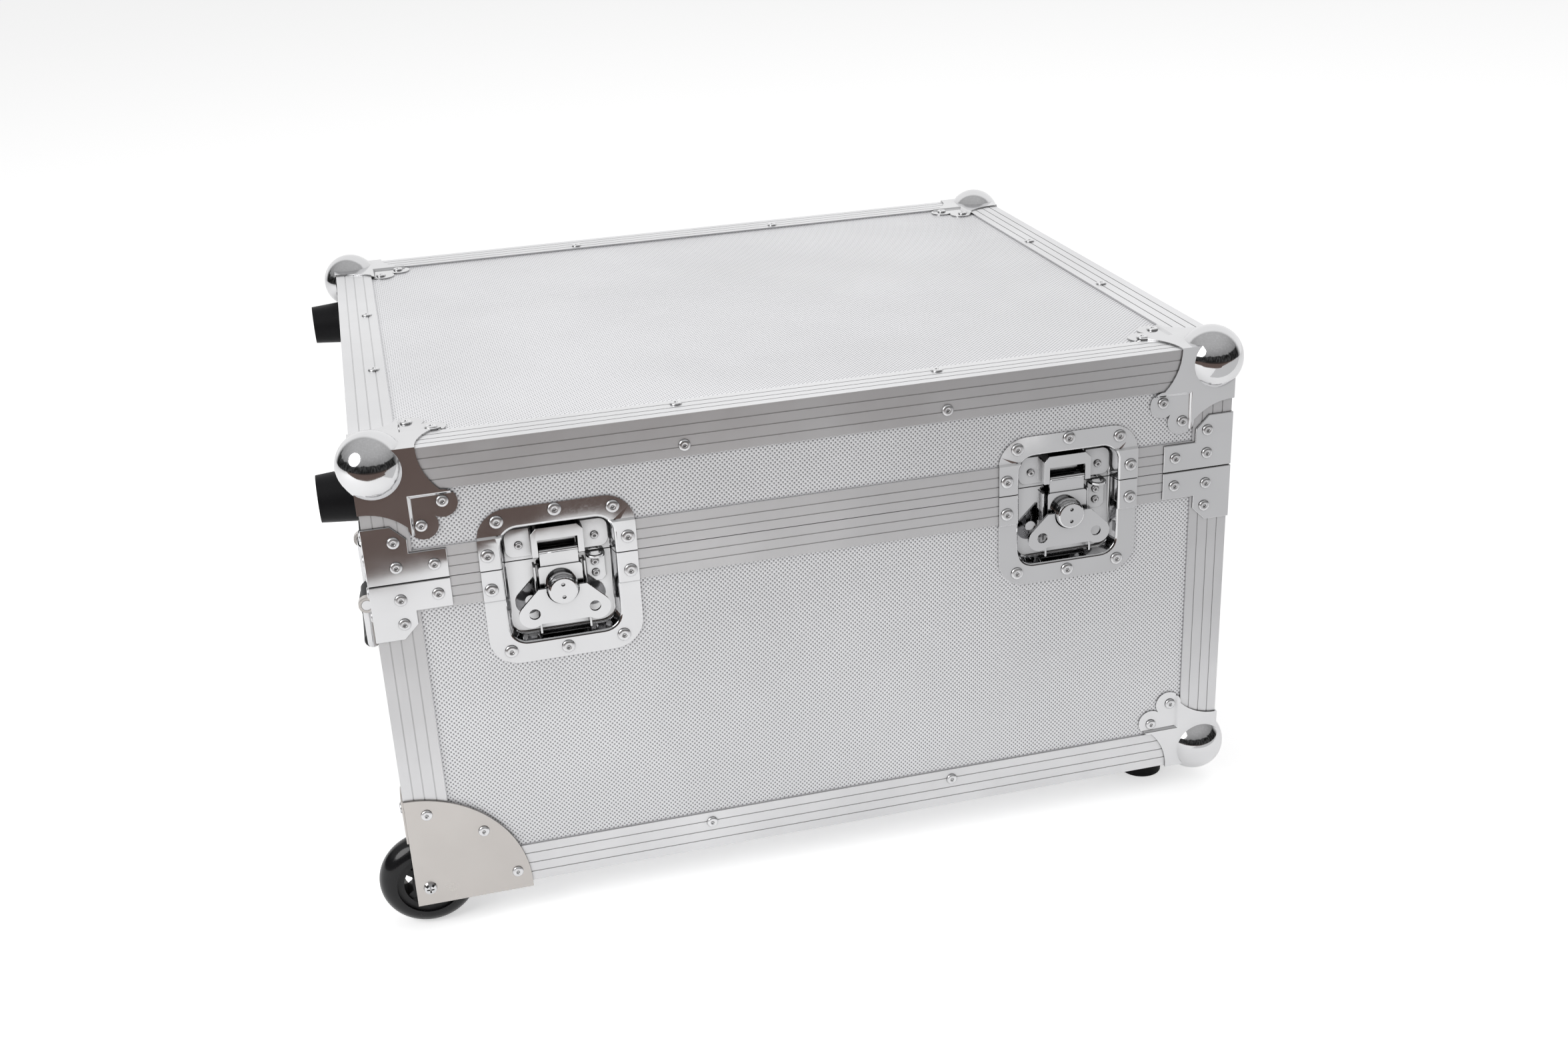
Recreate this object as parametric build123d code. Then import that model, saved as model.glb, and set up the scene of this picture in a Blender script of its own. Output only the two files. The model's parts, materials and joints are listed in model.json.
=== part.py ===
"""Trolley flight case: aluminium-edged case with a hinged lid, two recessed butterfly latches,
corner wheels, rubber feet, a carrying handle and a telescopic pull handle.

Lengths are millimetres. Every sub-part is drawn in case coordinates: x to the right from the left face,
y to the back from the front face, z up from the underside of the case. save() then moves it into the
part's own frame, whose origin is on the floor under the middle of the whole object.
"""
import math
import os

from build123d import *

os.makedirs("parts", exist_ok=True)

# Case
case_w = 620.0
case_d = 520.0
case_h = 340.0
seam_gap = 0.5
panel_t = 7.0
panel_slack = 0.1
mitre_gap = 0.1
fit_gap = 0.3

# Edge and closing extrusions
profile_w = 30.0
profile_t = 1.6
profile_inner_leg = 20.0
groove_w = 0.8
groove_depth = 0.35
closing_h = 22.0
tongue_t = 1.8
tongue_h = 4.0
tongue_inset = 4.2
lid_web_h = 6.0

# Pressed sheet parts
sheet_t = 1.2
ball_r = 23.4
ball_inset = 12.2
corner_leg = 41.0
corner_leg_arc = 42.0
corner_tab_far = 54.0
corner_lobe_r = 10.0
lid_spare = 6.5
brace_leg_w = 28.0
brace_h = 41.0
brace_band_w = 52.5
brace_chamfer = 10.0

# Rivets
rivet_r = 4.1
rivet_top_r = 2.6
rivet_h = 1.6
edge_rivet_margin = 8.0
edge_rivet_half_w = 93.0
edge_rivet_half_d = 77.0
latch_rivet_r = 4.6

# Wheels
wheel_r = 35.0
wheel_w = 24.0
wheel_inset = 10.0
wheel_face = 3.0
axle_r = 3.0
bearing_r = 9.5
bearing_w = 6.0
tyre_inner_r = 23.0
hub_rim_r = 18.0
hub_boss_r = 12.0
spoke_count = 5
spoke_w = 5.0
well_side_gap = 3.0
well_gap = 5.0
wheel_plate_r = 82.5
wheel_plate_t = 1.5
wheel_plate_drop = 4.0
bolt_head_r = 4.9
bolt_head_h = 3.2
well_boss_r = 7.0

# Feet
foot_base_r = 18.0
foot_tip_r = 16.0
foot_margin = 11.5
foot_bore_r = 6.5
foot_floor = 6.0
foot_boss_r = 8.0

# Latches
latch_inset = 126.0
latch_below_seam = 13.75
dish_half_w = 53.3
dish_top = 56.0
dish_bottom = 58.8
dish_corner_r = 21.0
flange_side = 15.3
flange_top = 15.0
flange_bottom = 15.8
recess_corner_r = 12.0
recess_depth = 10.0
recess_draft = 9.0
knob_r = 10.2
collar_proud = 0.7
knob_below = 6.0
knob_face = -7.0
cam_r = 8.0
cam_throw = 3.0
spindle_r = 4.0
wing_front = -2.9
wing_t = 2.0
wing_pin_r = 0.95
wing_clear_side = 15.6
wing_clear_low = 19.8
wing_tip_r = 9.0
wing_hole_r = 3.9
hook_front = 2.0
hook_t = 1.8
hook_web = 3.6
hook_shoulder = 1.8
hook_roll_r = 1.6
keeper_front = 1.8
keeper_t = 1.5
keeper_side = 2.9
keeper_h = 21.0
keeper_margin = 3.0
channel_top = 9.0
eye_half_w = 6.5
eye_t = 1.3
shaft_gap = 0.05

# Hinges
hinge_w = 60.0
hinge_leaf_h = 21.0
hinge_leaf_t = 1.5
hinge_offset = 185.0
knuckle_r = 3.8
hinge_pin_r = 2.0
hinge_gap = 0.4
hinge_knuckles = 5
hinge_stop = 2.7

# Carrying handle on the left face
handle_plate_margin = 5.0
handle_plate_h = 78.0
handle_plate_t = 2.0
handle_pivot_z = 150.0
handle_out = 9.0
handle_drop = 39.0
handle_half_w = 60.0
handle_rod_r = 4.0
handle_bend_r = 4.6
handle_grip_r = 6.5
handle_grip_gap = 7.0
handle_lug_t = 6.0
handle_plate_rise = 18.0

# Telescopic handle in the right end
pull_z = 52.0
pull_tube_y = 80.0
outer_tube_r = 10.0
outer_tube_t = 1.2
bush_t = 0.5
inner_tube_t = 1.2
bush_len = 12.0
tray_side_gap = 4.0
tray_low_gap = 2.0
tray_finger_gap = 13.0
tray_depth = 34.0
tray_wall = 2.0
bezel_rim = 8.0
bezel_t = 2.5
grip_half_w = 98.0
grip_half_h = 10.0
grip_d = 20.0
grip_inset = 2.0
button_half_w = 22.0
button_half_h = 5.0
button_proud = 1.0
button_travel = 3.0
tube_end_x = 36.0
bracket_w = 18.0
bracket_rim = 4.0
bracket_foot = 8.0
bracket_t = 3.0
cover_gap = 7.0
cover_t = 3.0

# Lining
lining_t = 8.0

panel_face = profile_t
panel_back = profile_t + panel_t
groove_back = panel_back + panel_slack
inner_face = groove_back + profile_t
lining_face = inner_face + fit_gap
stand_off = wheel_r - wheel_inset
ball_proud = ball_r - ball_inset
middle_x = (case_w + ball_proud - stand_off) / 2
pull_y = case_d / 2
hinge_y = case_d + knuckle_r + hinge_gap
corner_tab_near = profile_w + corner_lobe_r
lid_h = closing_h + lid_spare + corner_lobe_r + corner_tab_far
base_h = case_h - lid_h
edge_rivet_line = profile_w - edge_rivet_margin
foot_inset = profile_w + foot_margin
well_size = wheel_inset + wheel_r + well_gap
well_depth = wheel_face + wheel_w + well_side_gap
handle_plate_w = 2 * (handle_half_w + handle_rod_r + 1 + handle_lug_t + handle_plate_margin)
handle_grip_len = 2 * (handle_half_w - handle_grip_gap)
inner_tube_r = outer_tube_r - outer_tube_t - bush_t
tray_half_w = grip_half_w + tray_side_gap
tray_low = grip_half_h + tray_low_gap
tray_high = grip_half_h + tray_finger_gap
cover_half_w = tray_half_w + tray_wall + cover_gap + cover_t
knob_collar_r = knob_r + collar_proud
latch_z = base_h - latch_below_seam
latch_places = (latch_inset, case_w - latch_inset)
recess_half_w = dish_half_w - flange_side
recess_top = dish_top - flange_top
recess_bottom = dish_bottom - flange_bottom
wing_tip_x = recess_half_w - wing_clear_side
wing_tip_z = wing_clear_low - recess_bottom
wing_hole_x = wing_tip_x - 1.7
wing_hole_z = wing_tip_z + 0.9
hook_half_w = cam_throw + cam_r + fit_gap + hook_web
hook_neck_half_w = hook_half_w - hook_shoulder
keeper_half_w = hook_half_w + keeper_side
keeper_reach = recess_half_w - keeper_margin
keeper_top = recess_top - keeper_margin
keeper_low = keeper_top - keeper_h
eye_middle = keeper_half_w + eye_half_w + 0.7
knob_z = latch_z - knob_below
hook_travel = 2 * cam_throw


def save(name, *shapes):
    """Writes one node, moved from case coordinates into the part's own frame."""
    move = Pos(-middle_x, -case_d / 2, stand_off)
    solids = [move * solid for shape in shapes for solid in shape.solids()]
    shape = solids[0] if len(solids) == 1 else Compound(children=solids)
    export_step(shape, f"parts/{name}.step")


def block(x0, x1, y0, y1, z0, z1):
    """A box between three pairs of limits."""
    return Pos((x0 + x1) / 2, (y0 + y1) / 2, (z0 + z1) / 2) * Box(x1 - x0, y1 - y0, z1 - z0)


def rect(a0, a1, b0, b1):
    """A rectangle between two pairs of limits, in a sketch plane."""
    return Pos((a0 + a1) / 2, (b0 + b1) / 2) * Rectangle(a1 - a0, b1 - b0)


def disc(a, b, r):
    """A filled circle in a sketch plane."""
    return Pos(a, b) * Circle(r)


def polygon(*points):
    """A filled polygon in a sketch plane, with its corners where they are given."""
    return make_face(Polyline(*points, close=True))


def to_back(shape):
    """The mirror image at the back of a shape drawn at the front."""
    return mirror(shape, about=Plane.XZ.offset(-case_d / 2))


def to_right(shape):
    """The mirror image at the right of a shape drawn at the left."""
    return mirror(shape, about=Plane.YZ.offset(case_w / 2))


def to_top(shape):
    """The mirror image at the top of a shape drawn at the bottom."""
    return mirror(shape, about=Plane.XY.offset(case_h / 2))


def four_corners(shape):
    """A shape drawn at the front left, at all four corners."""
    pair = [shape, to_right(shape)]
    return pair + [to_back(one) for one in pair]


# Edge extrusions


def edge_section():
    """Double angle: an outer angle with three fine grooves a side, and an inner angle that grips two panels."""
    section = rect(0, profile_w, 0, profile_t) + rect(0, profile_t, 0, profile_w)
    section += rect(profile_t, profile_inner_leg, groove_back, inner_face)
    section += rect(groove_back, inner_face, profile_t, profile_inner_leg)
    for share in (0.25, 0.5, 0.77):
        place = share * profile_w
        section -= rect(place - groove_w / 2, place + groove_w / 2, 0, groove_depth)
        section -= rect(0, groove_depth, place - groove_w / 2, place + groove_w / 2)
    return section


def edge_piece(corner, along, inward, length):
    """An edge extrusion from a corner point along one direction, with its first leg facing inward."""
    return extrude(Plane(origin=corner, x_dir=inward, z_dir=along) * edge_section(), length)


def base_edges():
    """The four bottom edges. The left ends stop at the wheel wells."""
    well_end = well_size + sheet_t + fit_gap
    well_side = well_depth + sheet_t + fit_gap
    front = edge_piece((well_end, 0, 0), (1, 0, 0), (0, 1, 0), case_w - well_end)
    left = edge_piece((0, case_d - well_side, 0), (0, -1, 0), (1, 0, 0), case_d - 2 * well_side)
    right = edge_piece((case_w, profile_w, 0), (0, 1, 0), (-1, 0, 0), case_d - 2 * profile_w)
    return [front, to_back(front), left, right]


def lid_edges():
    """The four top edges."""
    front = to_top(edge_piece((0, 0, 0), (1, 0, 0), (0, 1, 0), case_w))
    left = to_top(edge_piece((0, case_d - profile_w, 0), (0, -1, 0), (1, 0, 0), case_d - 2 * profile_w))
    return [front, to_back(front), left, to_right(left)]


def corner_posts(z0, z1):
    """The upright edge at the front left, between two heights."""
    return edge_piece((0, 0, z0), (0, 0, 1), (1, 0, 0), z1 - z0)


# Closing extrusions


def closing_section(side):
    """Half of the closing pair, with its depth from the outer face and its height from the seam.

    side is -1 for the base, which carries the tongue, and 1 for the lid, which has the groove.
    """
    if side < 0:
        web_top = -seam_gap / 2 - profile_t + 0.45
        section = rect(0, profile_t, -closing_h, -seam_gap / 2)
        section += rect(profile_t, inner_face, web_top - profile_t, web_top)
        section += rect(groove_back, inner_face, -0.65 * closing_h, web_top)
        section += rect(tongue_inset, tongue_inset + tongue_t, web_top, tongue_h)
    else:
        section = rect(0, profile_t, seam_gap / 2, closing_h)
        section += rect(profile_t, inner_face, lid_web_h, lid_web_h + profile_t)
        section += rect(groove_back, inner_face, seam_gap / 2, 0.82 * closing_h)
    for share in (1 / 3, 2 / 3):
        place = side * share * closing_h
        section -= rect(0, groove_depth, place - groove_w / 2, place + groove_w / 2)
    return section


def closing_frame(side):
    """Four mitred lengths of closing extrusion. The latch dishes interrupt the front one."""
    reach = 1.5 * inner_face
    out = 5.0
    section = closing_section(side)
    low = Pos(0, 0, base_h - 2 * closing_h)
    front_end = Plane(origin=(-out, 0, base_h), x_dir=(0, 1, 0), z_dir=(1, 0, 0))
    front = extrude(front_end * section, case_w + 2 * out)
    gap = mitre_gap
    mitre = polygon((gap - out, -out), (case_w + out - gap, -out), (case_w - reach - gap, reach), (reach + gap, reach))
    front &= extrude(low * mitre, 4 * closing_h)
    left_end = Plane(origin=(0, case_d + out, base_h), x_dir=(1, 0, 0), z_dir=(0, -1, 0))
    left = extrude(left_end * section, case_d + 2 * out)
    mitre = polygon((-out, gap - out), (reach, reach + gap), (reach, case_d - reach - gap), (-out, case_d + out - gap))
    left &= extrude(low * mitre, 4 * closing_h)
    cut_front = front
    for x in latch_places:
        cut_front -= dish_cutout(x)
    return [cut_front, to_back(front), left, to_right(left)]


# Panels


def dish_cutout(x):
    """The hole through the front wall that a latch dish fills."""
    half = recess_half_w + sheet_t + fit_gap
    return block(
        x - half,
        x + half,
        -10,
        inner_face + 1,
        latch_z - recess_bottom - sheet_t - fit_gap,
        latch_z + recess_top + sheet_t + fit_gap,
    )


def well_cutout():
    """The corner that a wheel well fills, at the front left."""
    size = well_size + sheet_t + fit_gap
    return block(-10, size, -10, well_depth + sheet_t + fit_gap, -10, size)


def walls(z0, z1):
    """Front, back, left and right panels between two heights, plain, with half their play before them."""
    near = panel_face + panel_slack / 2
    far = near + panel_t
    front = block(lining_face, case_w - lining_face, near, far, z0, z1)
    left = block(near, far, lining_face, case_d - lining_face, z0, z1)
    return front, to_back(front), left, to_right(left)


def base_panels():
    """The five panels of the base, with the holes for latches, wheels and telescopic handle."""
    bottom = block(lining_face, case_w - lining_face, lining_face, case_d - lining_face, panel_face, panel_back)
    top = base_h - seam_gap / 2 - 2 * profile_t - 0.2
    front, back, left, right = walls(lining_face, top)
    for x in latch_places:
        front -= dish_cutout(x)
    wells = [well_cutout(), to_back(well_cutout())]
    bottom -= wells
    front -= wells[0]
    back -= wells[1]
    left -= wells
    right -= block(
        case_w - 20,
        case_w + 10,
        pull_y - tray_half_w - tray_wall - fit_gap,
        pull_y + tray_half_w + tray_wall + fit_gap,
        pull_z - tray_low - tray_wall - fit_gap,
        pull_z + tray_high + tray_wall + fit_gap,
    )
    return bottom, front, back, left, right


def lid_panels():
    """The five panels of the lid, with the holes for the latches."""
    top = block(lining_face, case_w - lining_face, lining_face, case_d - lining_face, panel_face, panel_back)
    low = base_h + lid_web_h + profile_t + fit_gap
    front, back, left, right = walls(low, case_h - lining_face)
    for x in latch_places:
        front -= dish_cutout(x)
    return to_top(top), front, back, left, right


# Ball corners and braces


def corner_outline():
    """One leg face of a ball corner, measured from the case corner: arced leg ends and a two-lobed tab."""
    tip = corner_tab_far + 2
    outline = polygon(
        (-sheet_t, -sheet_t),
        (corner_leg + 4, -sheet_t),
        (tip, corner_tab_near - 6),
        (corner_tab_near + 8, corner_tab_near + 8),
        (corner_tab_near - 6, tip),
        (-sheet_t, corner_leg + 4),
    )
    outline -= disc(corner_leg + corner_leg_arc, 0, corner_leg_arc)
    outline -= disc(0, corner_leg + corner_leg_arc, corner_leg_arc)
    outline += disc(corner_tab_far, corner_tab_near, corner_lobe_r)
    outline += disc(corner_tab_near, corner_tab_far, corner_lobe_r)
    return outline


def corner_face(plane):
    """One pressed face of a ball corner: the legs lie on the extrusions, the tab steps down to the panel."""
    edge = profile_w + 1
    far = corner_tab_far + 2 * corner_lobe_r
    tab_zone = rect(edge, far, edge, far)
    step_zone = tab_zone - rect(edge + sheet_t, far, edge + sheet_t, far)
    outline = corner_outline()
    legs = extrude(plane.offset(-sheet_t) * (outline - tab_zone), sheet_t)
    tab = extrude(plane.offset(panel_face - sheet_t) * (outline & tab_zone), sheet_t)
    step = extrude(plane.offset(-sheet_t) * (outline & step_zone), panel_face + sheet_t)
    return legs + tab + step


def ball_corner():
    """Ball corner at the front left of the underside: three pressed faces and a hollow ball."""
    centre = Pos(ball_inset, ball_inset, ball_inset)
    hollow = centre * Sphere(ball_r - sheet_t)
    inside = block(0, 2 * ball_r, 0, 2 * ball_r, 0, 2 * ball_r)
    corner = centre * Sphere(ball_r) - inside
    for plane in (Plane.XY, Plane.YZ, Plane.ZX):
        corner += corner_face(plane)
    return corner - hollow


def corner_brace(side):
    """L-shaped brace round the upright edge beside the seam, at the front left. side is 1 on the lid."""
    start = side * (seam_gap / 2 + 0.15)
    outline = polygon(
        (-sheet_t, start),
        (brace_band_w, start),
        (brace_band_w, side * (closing_h - 1)),
        (brace_leg_w, side * (closing_h - 1)),
        (brace_leg_w, side * (brace_h - brace_chamfer)),
        (brace_leg_w - brace_chamfer, side * brace_h),
        (-sheet_t, side * brace_h),
    )
    face = extrude(Plane(origin=(0, 0, base_h), x_dir=(1, 0, 0), z_dir=(0, -1, 0)) * outline, sheet_t)
    flank = extrude(Plane(origin=(-sheet_t, 0, base_h), x_dir=(0, 1, 0), z_dir=(1, 0, 0)) * outline, sheet_t)
    return face + flank


# Latches. Each is drawn round its own middle: u across, w up, and depth positive into the case.


def press(x, sketch, front, back, taper=0):
    """Extrudes a latch outline from its front depth to its back depth."""
    plane = Plane(origin=(x, front, latch_z), x_dir=(1, 0, 0), z_dir=(0, 1, 0))
    return extrude(plane * mirror(sketch, about=Plane.XZ), back - front, taper=taper)


def round_rect(half_w, top, bottom, r):
    """A rectangle with rounded corners round a latch's middle."""
    outline = RectangleRounded(2 * half_w, top + bottom, r)
    return Pos(0, (top - bottom) / 2) * outline


def latch_dishes(x):
    """The pressed dish of one latch, cut at the seam into its lid half and its base half."""
    band_top = closing_h + latch_below_seam + sheet_t
    band_bottom = latch_below_seam - closing_h - sheet_t
    far = 2 * dish_bottom
    band = rect(-far, far, band_bottom, band_top)
    flange = round_rect(dish_half_w, dish_top, dish_bottom, dish_corner_r)
    recess = round_rect(recess_half_w, recess_top, recess_bottom, recess_corner_r)
    pocket = round_rect(recess_half_w + sheet_t, recess_top + sheet_t, recess_bottom + sheet_t, recess_corner_r + sheet_t)
    upper = press(x, (flange & band) - recess, -sheet_t, 0)
    lower = press(x, flange - band - recess, panel_face - sheet_t, panel_face)
    steps = band - rect(-far, far, band_bottom + sheet_t, band_top - sheet_t)
    step = press(x, (flange & steps) - recess, -sheet_t, panel_face)
    shell = press(x, pocket, -sheet_t, recess_depth + sheet_t, recess_draft)
    shell -= press(x, recess, -sheet_t, recess_depth, recess_draft)
    shell -= press(x, rect(-far, far, band_top, far), -far, panel_face - sheet_t)
    shell -= press(x, rect(-far, far, -far, band_bottom), -far, panel_face - sheet_t)
    dish = upper + lower + step + shell
    seam = latch_below_seam
    lid = dish & press(x, rect(-far, far, seam + seam_gap / 2, far), -far, far)
    base = dish & press(x, rect(-far, far, -far, seam - seam_gap / 2), -far, far)
    base -= press(x, disc(0, -knob_below, spindle_r + shaft_gap), -1, 2 * recess_depth)
    return lid, base


def latch_keeper(x):
    """Keeper plate on the lid dish: two ears, and a raised bridge with an open mouth for the hook."""
    back = recess_depth
    top, low = keeper_top, keeper_low
    wall = keeper_half_w - keeper_t
    mouth = hook_neck_half_w + 0.5
    bar_low = top - 0.42 * keeper_h
    nip = 0.19 * keeper_h
    bridge = rect(-keeper_half_w, keeper_half_w, low, top) - rect(-mouth, mouth, low, bar_low)
    bridge -= polygon((keeper_half_w, top), (keeper_half_w - nip, top), (keeper_half_w, top - nip))
    bridge -= polygon((-keeper_half_w, top), (nip - keeper_half_w, top), (-keeper_half_w, top - nip))
    keeper = press(x, bridge, keeper_front, keeper_front + keeper_t)
    for side in (-1, 1):
        a, b = sorted((side * wall, side * keeper_half_w))
        keeper += press(x, rect(a, b, low, top - nip), keeper_front, back)
        a, b = sorted((side * wall, side * keeper_reach))
        ear = rect(a, b, low - 0.4, top - 1)
        ear = fillet(ear.vertices().sort_by(Axis.X, reverse=side < 0)[-2:], 2 * keeper_margin)
        keeper += press(x, ear, back - keeper_t, back)
    keeper += press(x, rect(nip - keeper_half_w, keeper_half_w - nip, top - keeper_t, top), keeper_front, back)
    lip_front = hook_front + 2 * hook_roll_r + 0.4
    keeper += press(x, rect(-wall, wall, low, low + 0.12 * keeper_h), lip_front, lip_front + keeper_t)
    return keeper


def latch_channel(x):
    """Channel riveted in the base dish: it guides the hook plate between two side walls."""
    top, low = channel_top, 1.5 * keeper_margin - recess_bottom
    back = recess_depth
    half = keeper_half_w
    wall = half - keeper_t
    channel = press(x, rect(-half, half, low, top), back - keeper_t, back)
    for side in (-1, 1):
        a, b = sorted((side * wall, side * half))
        channel += press(x, rect(a, b, low, top), back / 2, back)
        channel += press(x, rect(a, b, low, low + 0.89 * channel_top), -0.04 * back, back)
    return channel - press(x, disc(0, -knob_below, spindle_r + shaft_gap), -1, 2 * recess_depth)


def padlock_eye(x):
    """Strip riveted beside the channel, with a ring that stands out for a padlock."""
    middle, half = eye_middle, eye_half_w
    ring_t = 1.4 * eye_t
    ring_w = latch_below_seam - seam_gap / 2 - 0.4 - ring_t
    strip = rect(middle - half, middle + half, -channel_top, ring_w + ring_t)
    strip = chamfer(strip.vertices().sort_by(Axis.Y)[:2], 3)
    eye = press(x, strip, recess_depth - eye_t, recess_depth)
    ring_y = half - 0.3
    ring = rect(x + middle - half, x + middle + half, ring_y, recess_depth) + disc(x + middle, ring_y, half)
    ring &= rect(x + middle - half, x + middle + half, -half, recess_depth)
    ring -= disc(x + middle, ring_y - 0.4, half - 2.5)
    return eye + extrude(Pos(0, 0, latch_z + ring_w) * ring, ring_t)


def latch_knob(x):
    """Turning knob: a domed head, a collar, an eccentric cam, and a spindle riveted behind the dish."""
    collar_front = wing_front + wing_t + 0.2
    cam_front = hook_front - fit_gap
    cam_back = hook_front + hook_t + 0.8
    tail = recess_depth + sheet_t + fit_gap
    profile = Polyline(
        (0, knob_face),
        (knob_r - 1.6, knob_face),
        (knob_r - 0.5, knob_face + 0.5),
        (knob_r, knob_face + 1.6),
        (knob_r, collar_front),
        (knob_collar_r, collar_front + 0.3),
        (knob_collar_r, cam_front),
        (spindle_r, cam_front),
        (spindle_r, tail),
        (spindle_r + 2, tail),
        (spindle_r + 2, tail + 1.5),
        (0, tail + 1.5),
        close=True,
    )
    body = Pos(x, 0, knob_z) * revolve(make_face(profile), Axis.Y)
    cam = disc(0, -knob_below - cam_throw, cam_r)
    body += press(x, cam, cam_front, cam_back)
    pin_y = wing_front + wing_t / 2
    pin_hole = Pos(x, pin_y, knob_z) * Rot(0, 90, 0) * Cylinder(wing_pin_r + shaft_gap, 2 * knob_collar_r + 2)
    pin_hole -= block(x - 8.4, x + 8.4, -20, 20, knob_z - 5, knob_z + 5)
    dimples = [disc(0, side * 4.6 - knob_below, 1.4) for side in (-1, 1)]
    body -= pin_hole
    for dimple in dimples:
        body -= press(x, dimple, knob_face - 1, knob_face + 1.2)
    return body


def latch_wing(x):
    """Folding butterfly wing: a notched plate with two finger holes, hung on stub pins in the knob."""
    top = wing_pin_r + 0.45 - knob_below
    notch_r = knob_collar_r + 0.4
    right = polygon((0, top), (16.5, top), (wing_tip_x + 6.6, wing_tip_z + 6.1), (wing_tip_x, wing_tip_z - 7), (0, wing_tip_z - 7))
    right += disc(wing_tip_x, wing_tip_z, wing_tip_r)
    right -= disc(wing_hole_x, wing_hole_z, wing_hole_r)
    outline = right + mirror(right, about=Plane.YZ)
    outline -= disc(0, -knob_below, notch_r) + rect(-notch_r, notch_r, -knob_below, top + 1)
    wing = press(x, outline, wing_front, wing_front + wing_t)
    for side in (-1, 1):
        reach = notch_r + 0.5 - 8.6
        middle = side * (8.6 + reach / 2)
        pin_y = wing_front + wing_t / 2
        wing += Pos(x + middle, pin_y, knob_z) * Rot(0, 90, 0) * Cylinder(wing_pin_r, reach)
    return wing


def latch_hook(x):
    """Hook plate: a flanged plate with an oblong cam window, a stepped neck and a rolled end."""
    low, shoulder, top = -24.0, 9.5, keeper_low + 0.233 * keeper_h
    neck_front = hook_front + 1.0
    window_half = cam_throw + cam_r + fit_gap
    window_h = cam_r + 0.75
    plate = fillet(rect(-hook_half_w, hook_half_w, low, shoulder).vertices(), 2)
    centre_w = -knob_below - cam_throw
    straight = window_half - window_h
    window = rect(-straight, straight, centre_w - window_h, centre_w + window_h)
    window += disc(-straight, centre_w, window_h) + disc(straight, centre_w, window_h)
    hook = press(x, plate - window, hook_front, hook_front + hook_t)
    hook += press(x, rect(-hook_neck_half_w, hook_neck_half_w, shoulder - 2, top - hook_roll_r), neck_front, neck_front + hook_t)
    for side in (-1, 1):
        a, b = sorted((side * (hook_half_w - hook_t + 0.1), side * hook_half_w))
        flange_back = recess_depth - keeper_t - fit_gap
        hook += press(x, rect(a, b, low + 2, shoulder - 2), hook_front, flange_back)
    roll = Pos(x, hook_front + hook_roll_r, latch_z + top - hook_roll_r)
    hook += roll * Rot(0, 90, 0) * Cylinder(hook_roll_r, 2 * hook_neck_half_w)
    return hook


# Wheel corners


def wheel_well():
    """Bent sheet well at the front left: top, inner end and inner cheek with a threaded boss."""
    size = well_size
    outer = block(0, size + sheet_t, 0, well_depth + sheet_t, 0, size + sheet_t)
    well = outer - block(-1, size, -1, well_depth, -1, size)
    boss_front = wheel_face + wheel_w + fit_gap
    boss = Plane(origin=(wheel_inset, boss_front, wheel_inset), z_dir=(0, 1, 0))
    well += extrude(boss * Circle(well_boss_r), well_depth - boss_front)
    return well - extrude(boss.offset(-1) * Circle(axle_r), 20)


def wheel_plates():
    """Quarter-round plates of one wheel corner: the front one carries the axle, the side one is notched."""
    outline = disc(0, 0, wheel_plate_r) & rect(0, case_w, 0, case_h)
    outline += rect(0, wheel_plate_r, -wheel_plate_drop, 0)
    front = extrude(Plane(origin=(0, 0, 0), x_dir=(1, 0, 0), z_dir=(0, -1, 0)) * outline, wheel_plate_t)
    axle = Plane(origin=(wheel_inset, 1, wheel_inset), x_dir=(1, 0, 0), z_dir=(0, -1, 0))
    front -= extrude(axle * Circle(axle_r + shaft_gap), 10)
    notch_y = wheel_face + wheel_w + 2
    notch_z = wheel_inset + wheel_r + 2.5
    side_outline = outline - rect(-1, notch_y, -wheel_plate_drop - 1, notch_z) - rect(-1, 0.5, 0, wheel_plate_r + 1)
    side = extrude(Plane(origin=(-wheel_plate_t, 0, 0), x_dir=(0, 1, 0), z_dir=(1, 0, 0)) * side_outline, wheel_plate_t)
    return [front, side]


def wheel_axis(y):
    """The plane square to the front wheel's axle, at a depth behind the front face."""
    return Plane(origin=(wheel_inset, y, wheel_inset), x_dir=(1, 0, 0), z_dir=(0, 1, 0))


def axle_bolt():
    """Pan-head bolt through the front plate, the wheel and the boss of the well."""
    length = well_depth + sheet_t + wheel_plate_t
    bolt = extrude(wheel_axis(-wheel_plate_t) * Circle(axle_r - shaft_gap), length)
    r, h = bolt_head_r, bolt_head_h
    head = Polyline((0, -h), (0.53 * r, -0.9 * h), (0.86 * r, -0.6 * h), (r, 0), (0, 0), close=True)
    bolt += Pos(wheel_inset, -wheel_plate_t, wheel_inset) * revolve(make_face(head), Axis.Y)
    for turn in (0, 90):
        slot = wheel_axis(-wheel_plate_t - 2 * h) * (Rot(0, 0, turn) * Rectangle(1.06 * r, 0.22 * r))
        bolt -= extrude(slot, 1.5 * h)
    return bolt


def wheel_tyre():
    """Rounded tyre of the front wheel, with a flat inner band."""
    half = wheel_w / 2
    crown = wheel_r - half
    outline = Polyline((tyre_inner_r, half - 2), (crown, half)) + ThreePointArc((crown, half), (wheel_r, 0), (crown, -half))
    outline += Polyline((crown, -half), (tyre_inner_r, 2 - half), (tyre_inner_r, half - 2))
    return Pos(wheel_inset, wheel_face + half, wheel_inset) * revolve(make_face(outline), Axis.Y)


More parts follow.
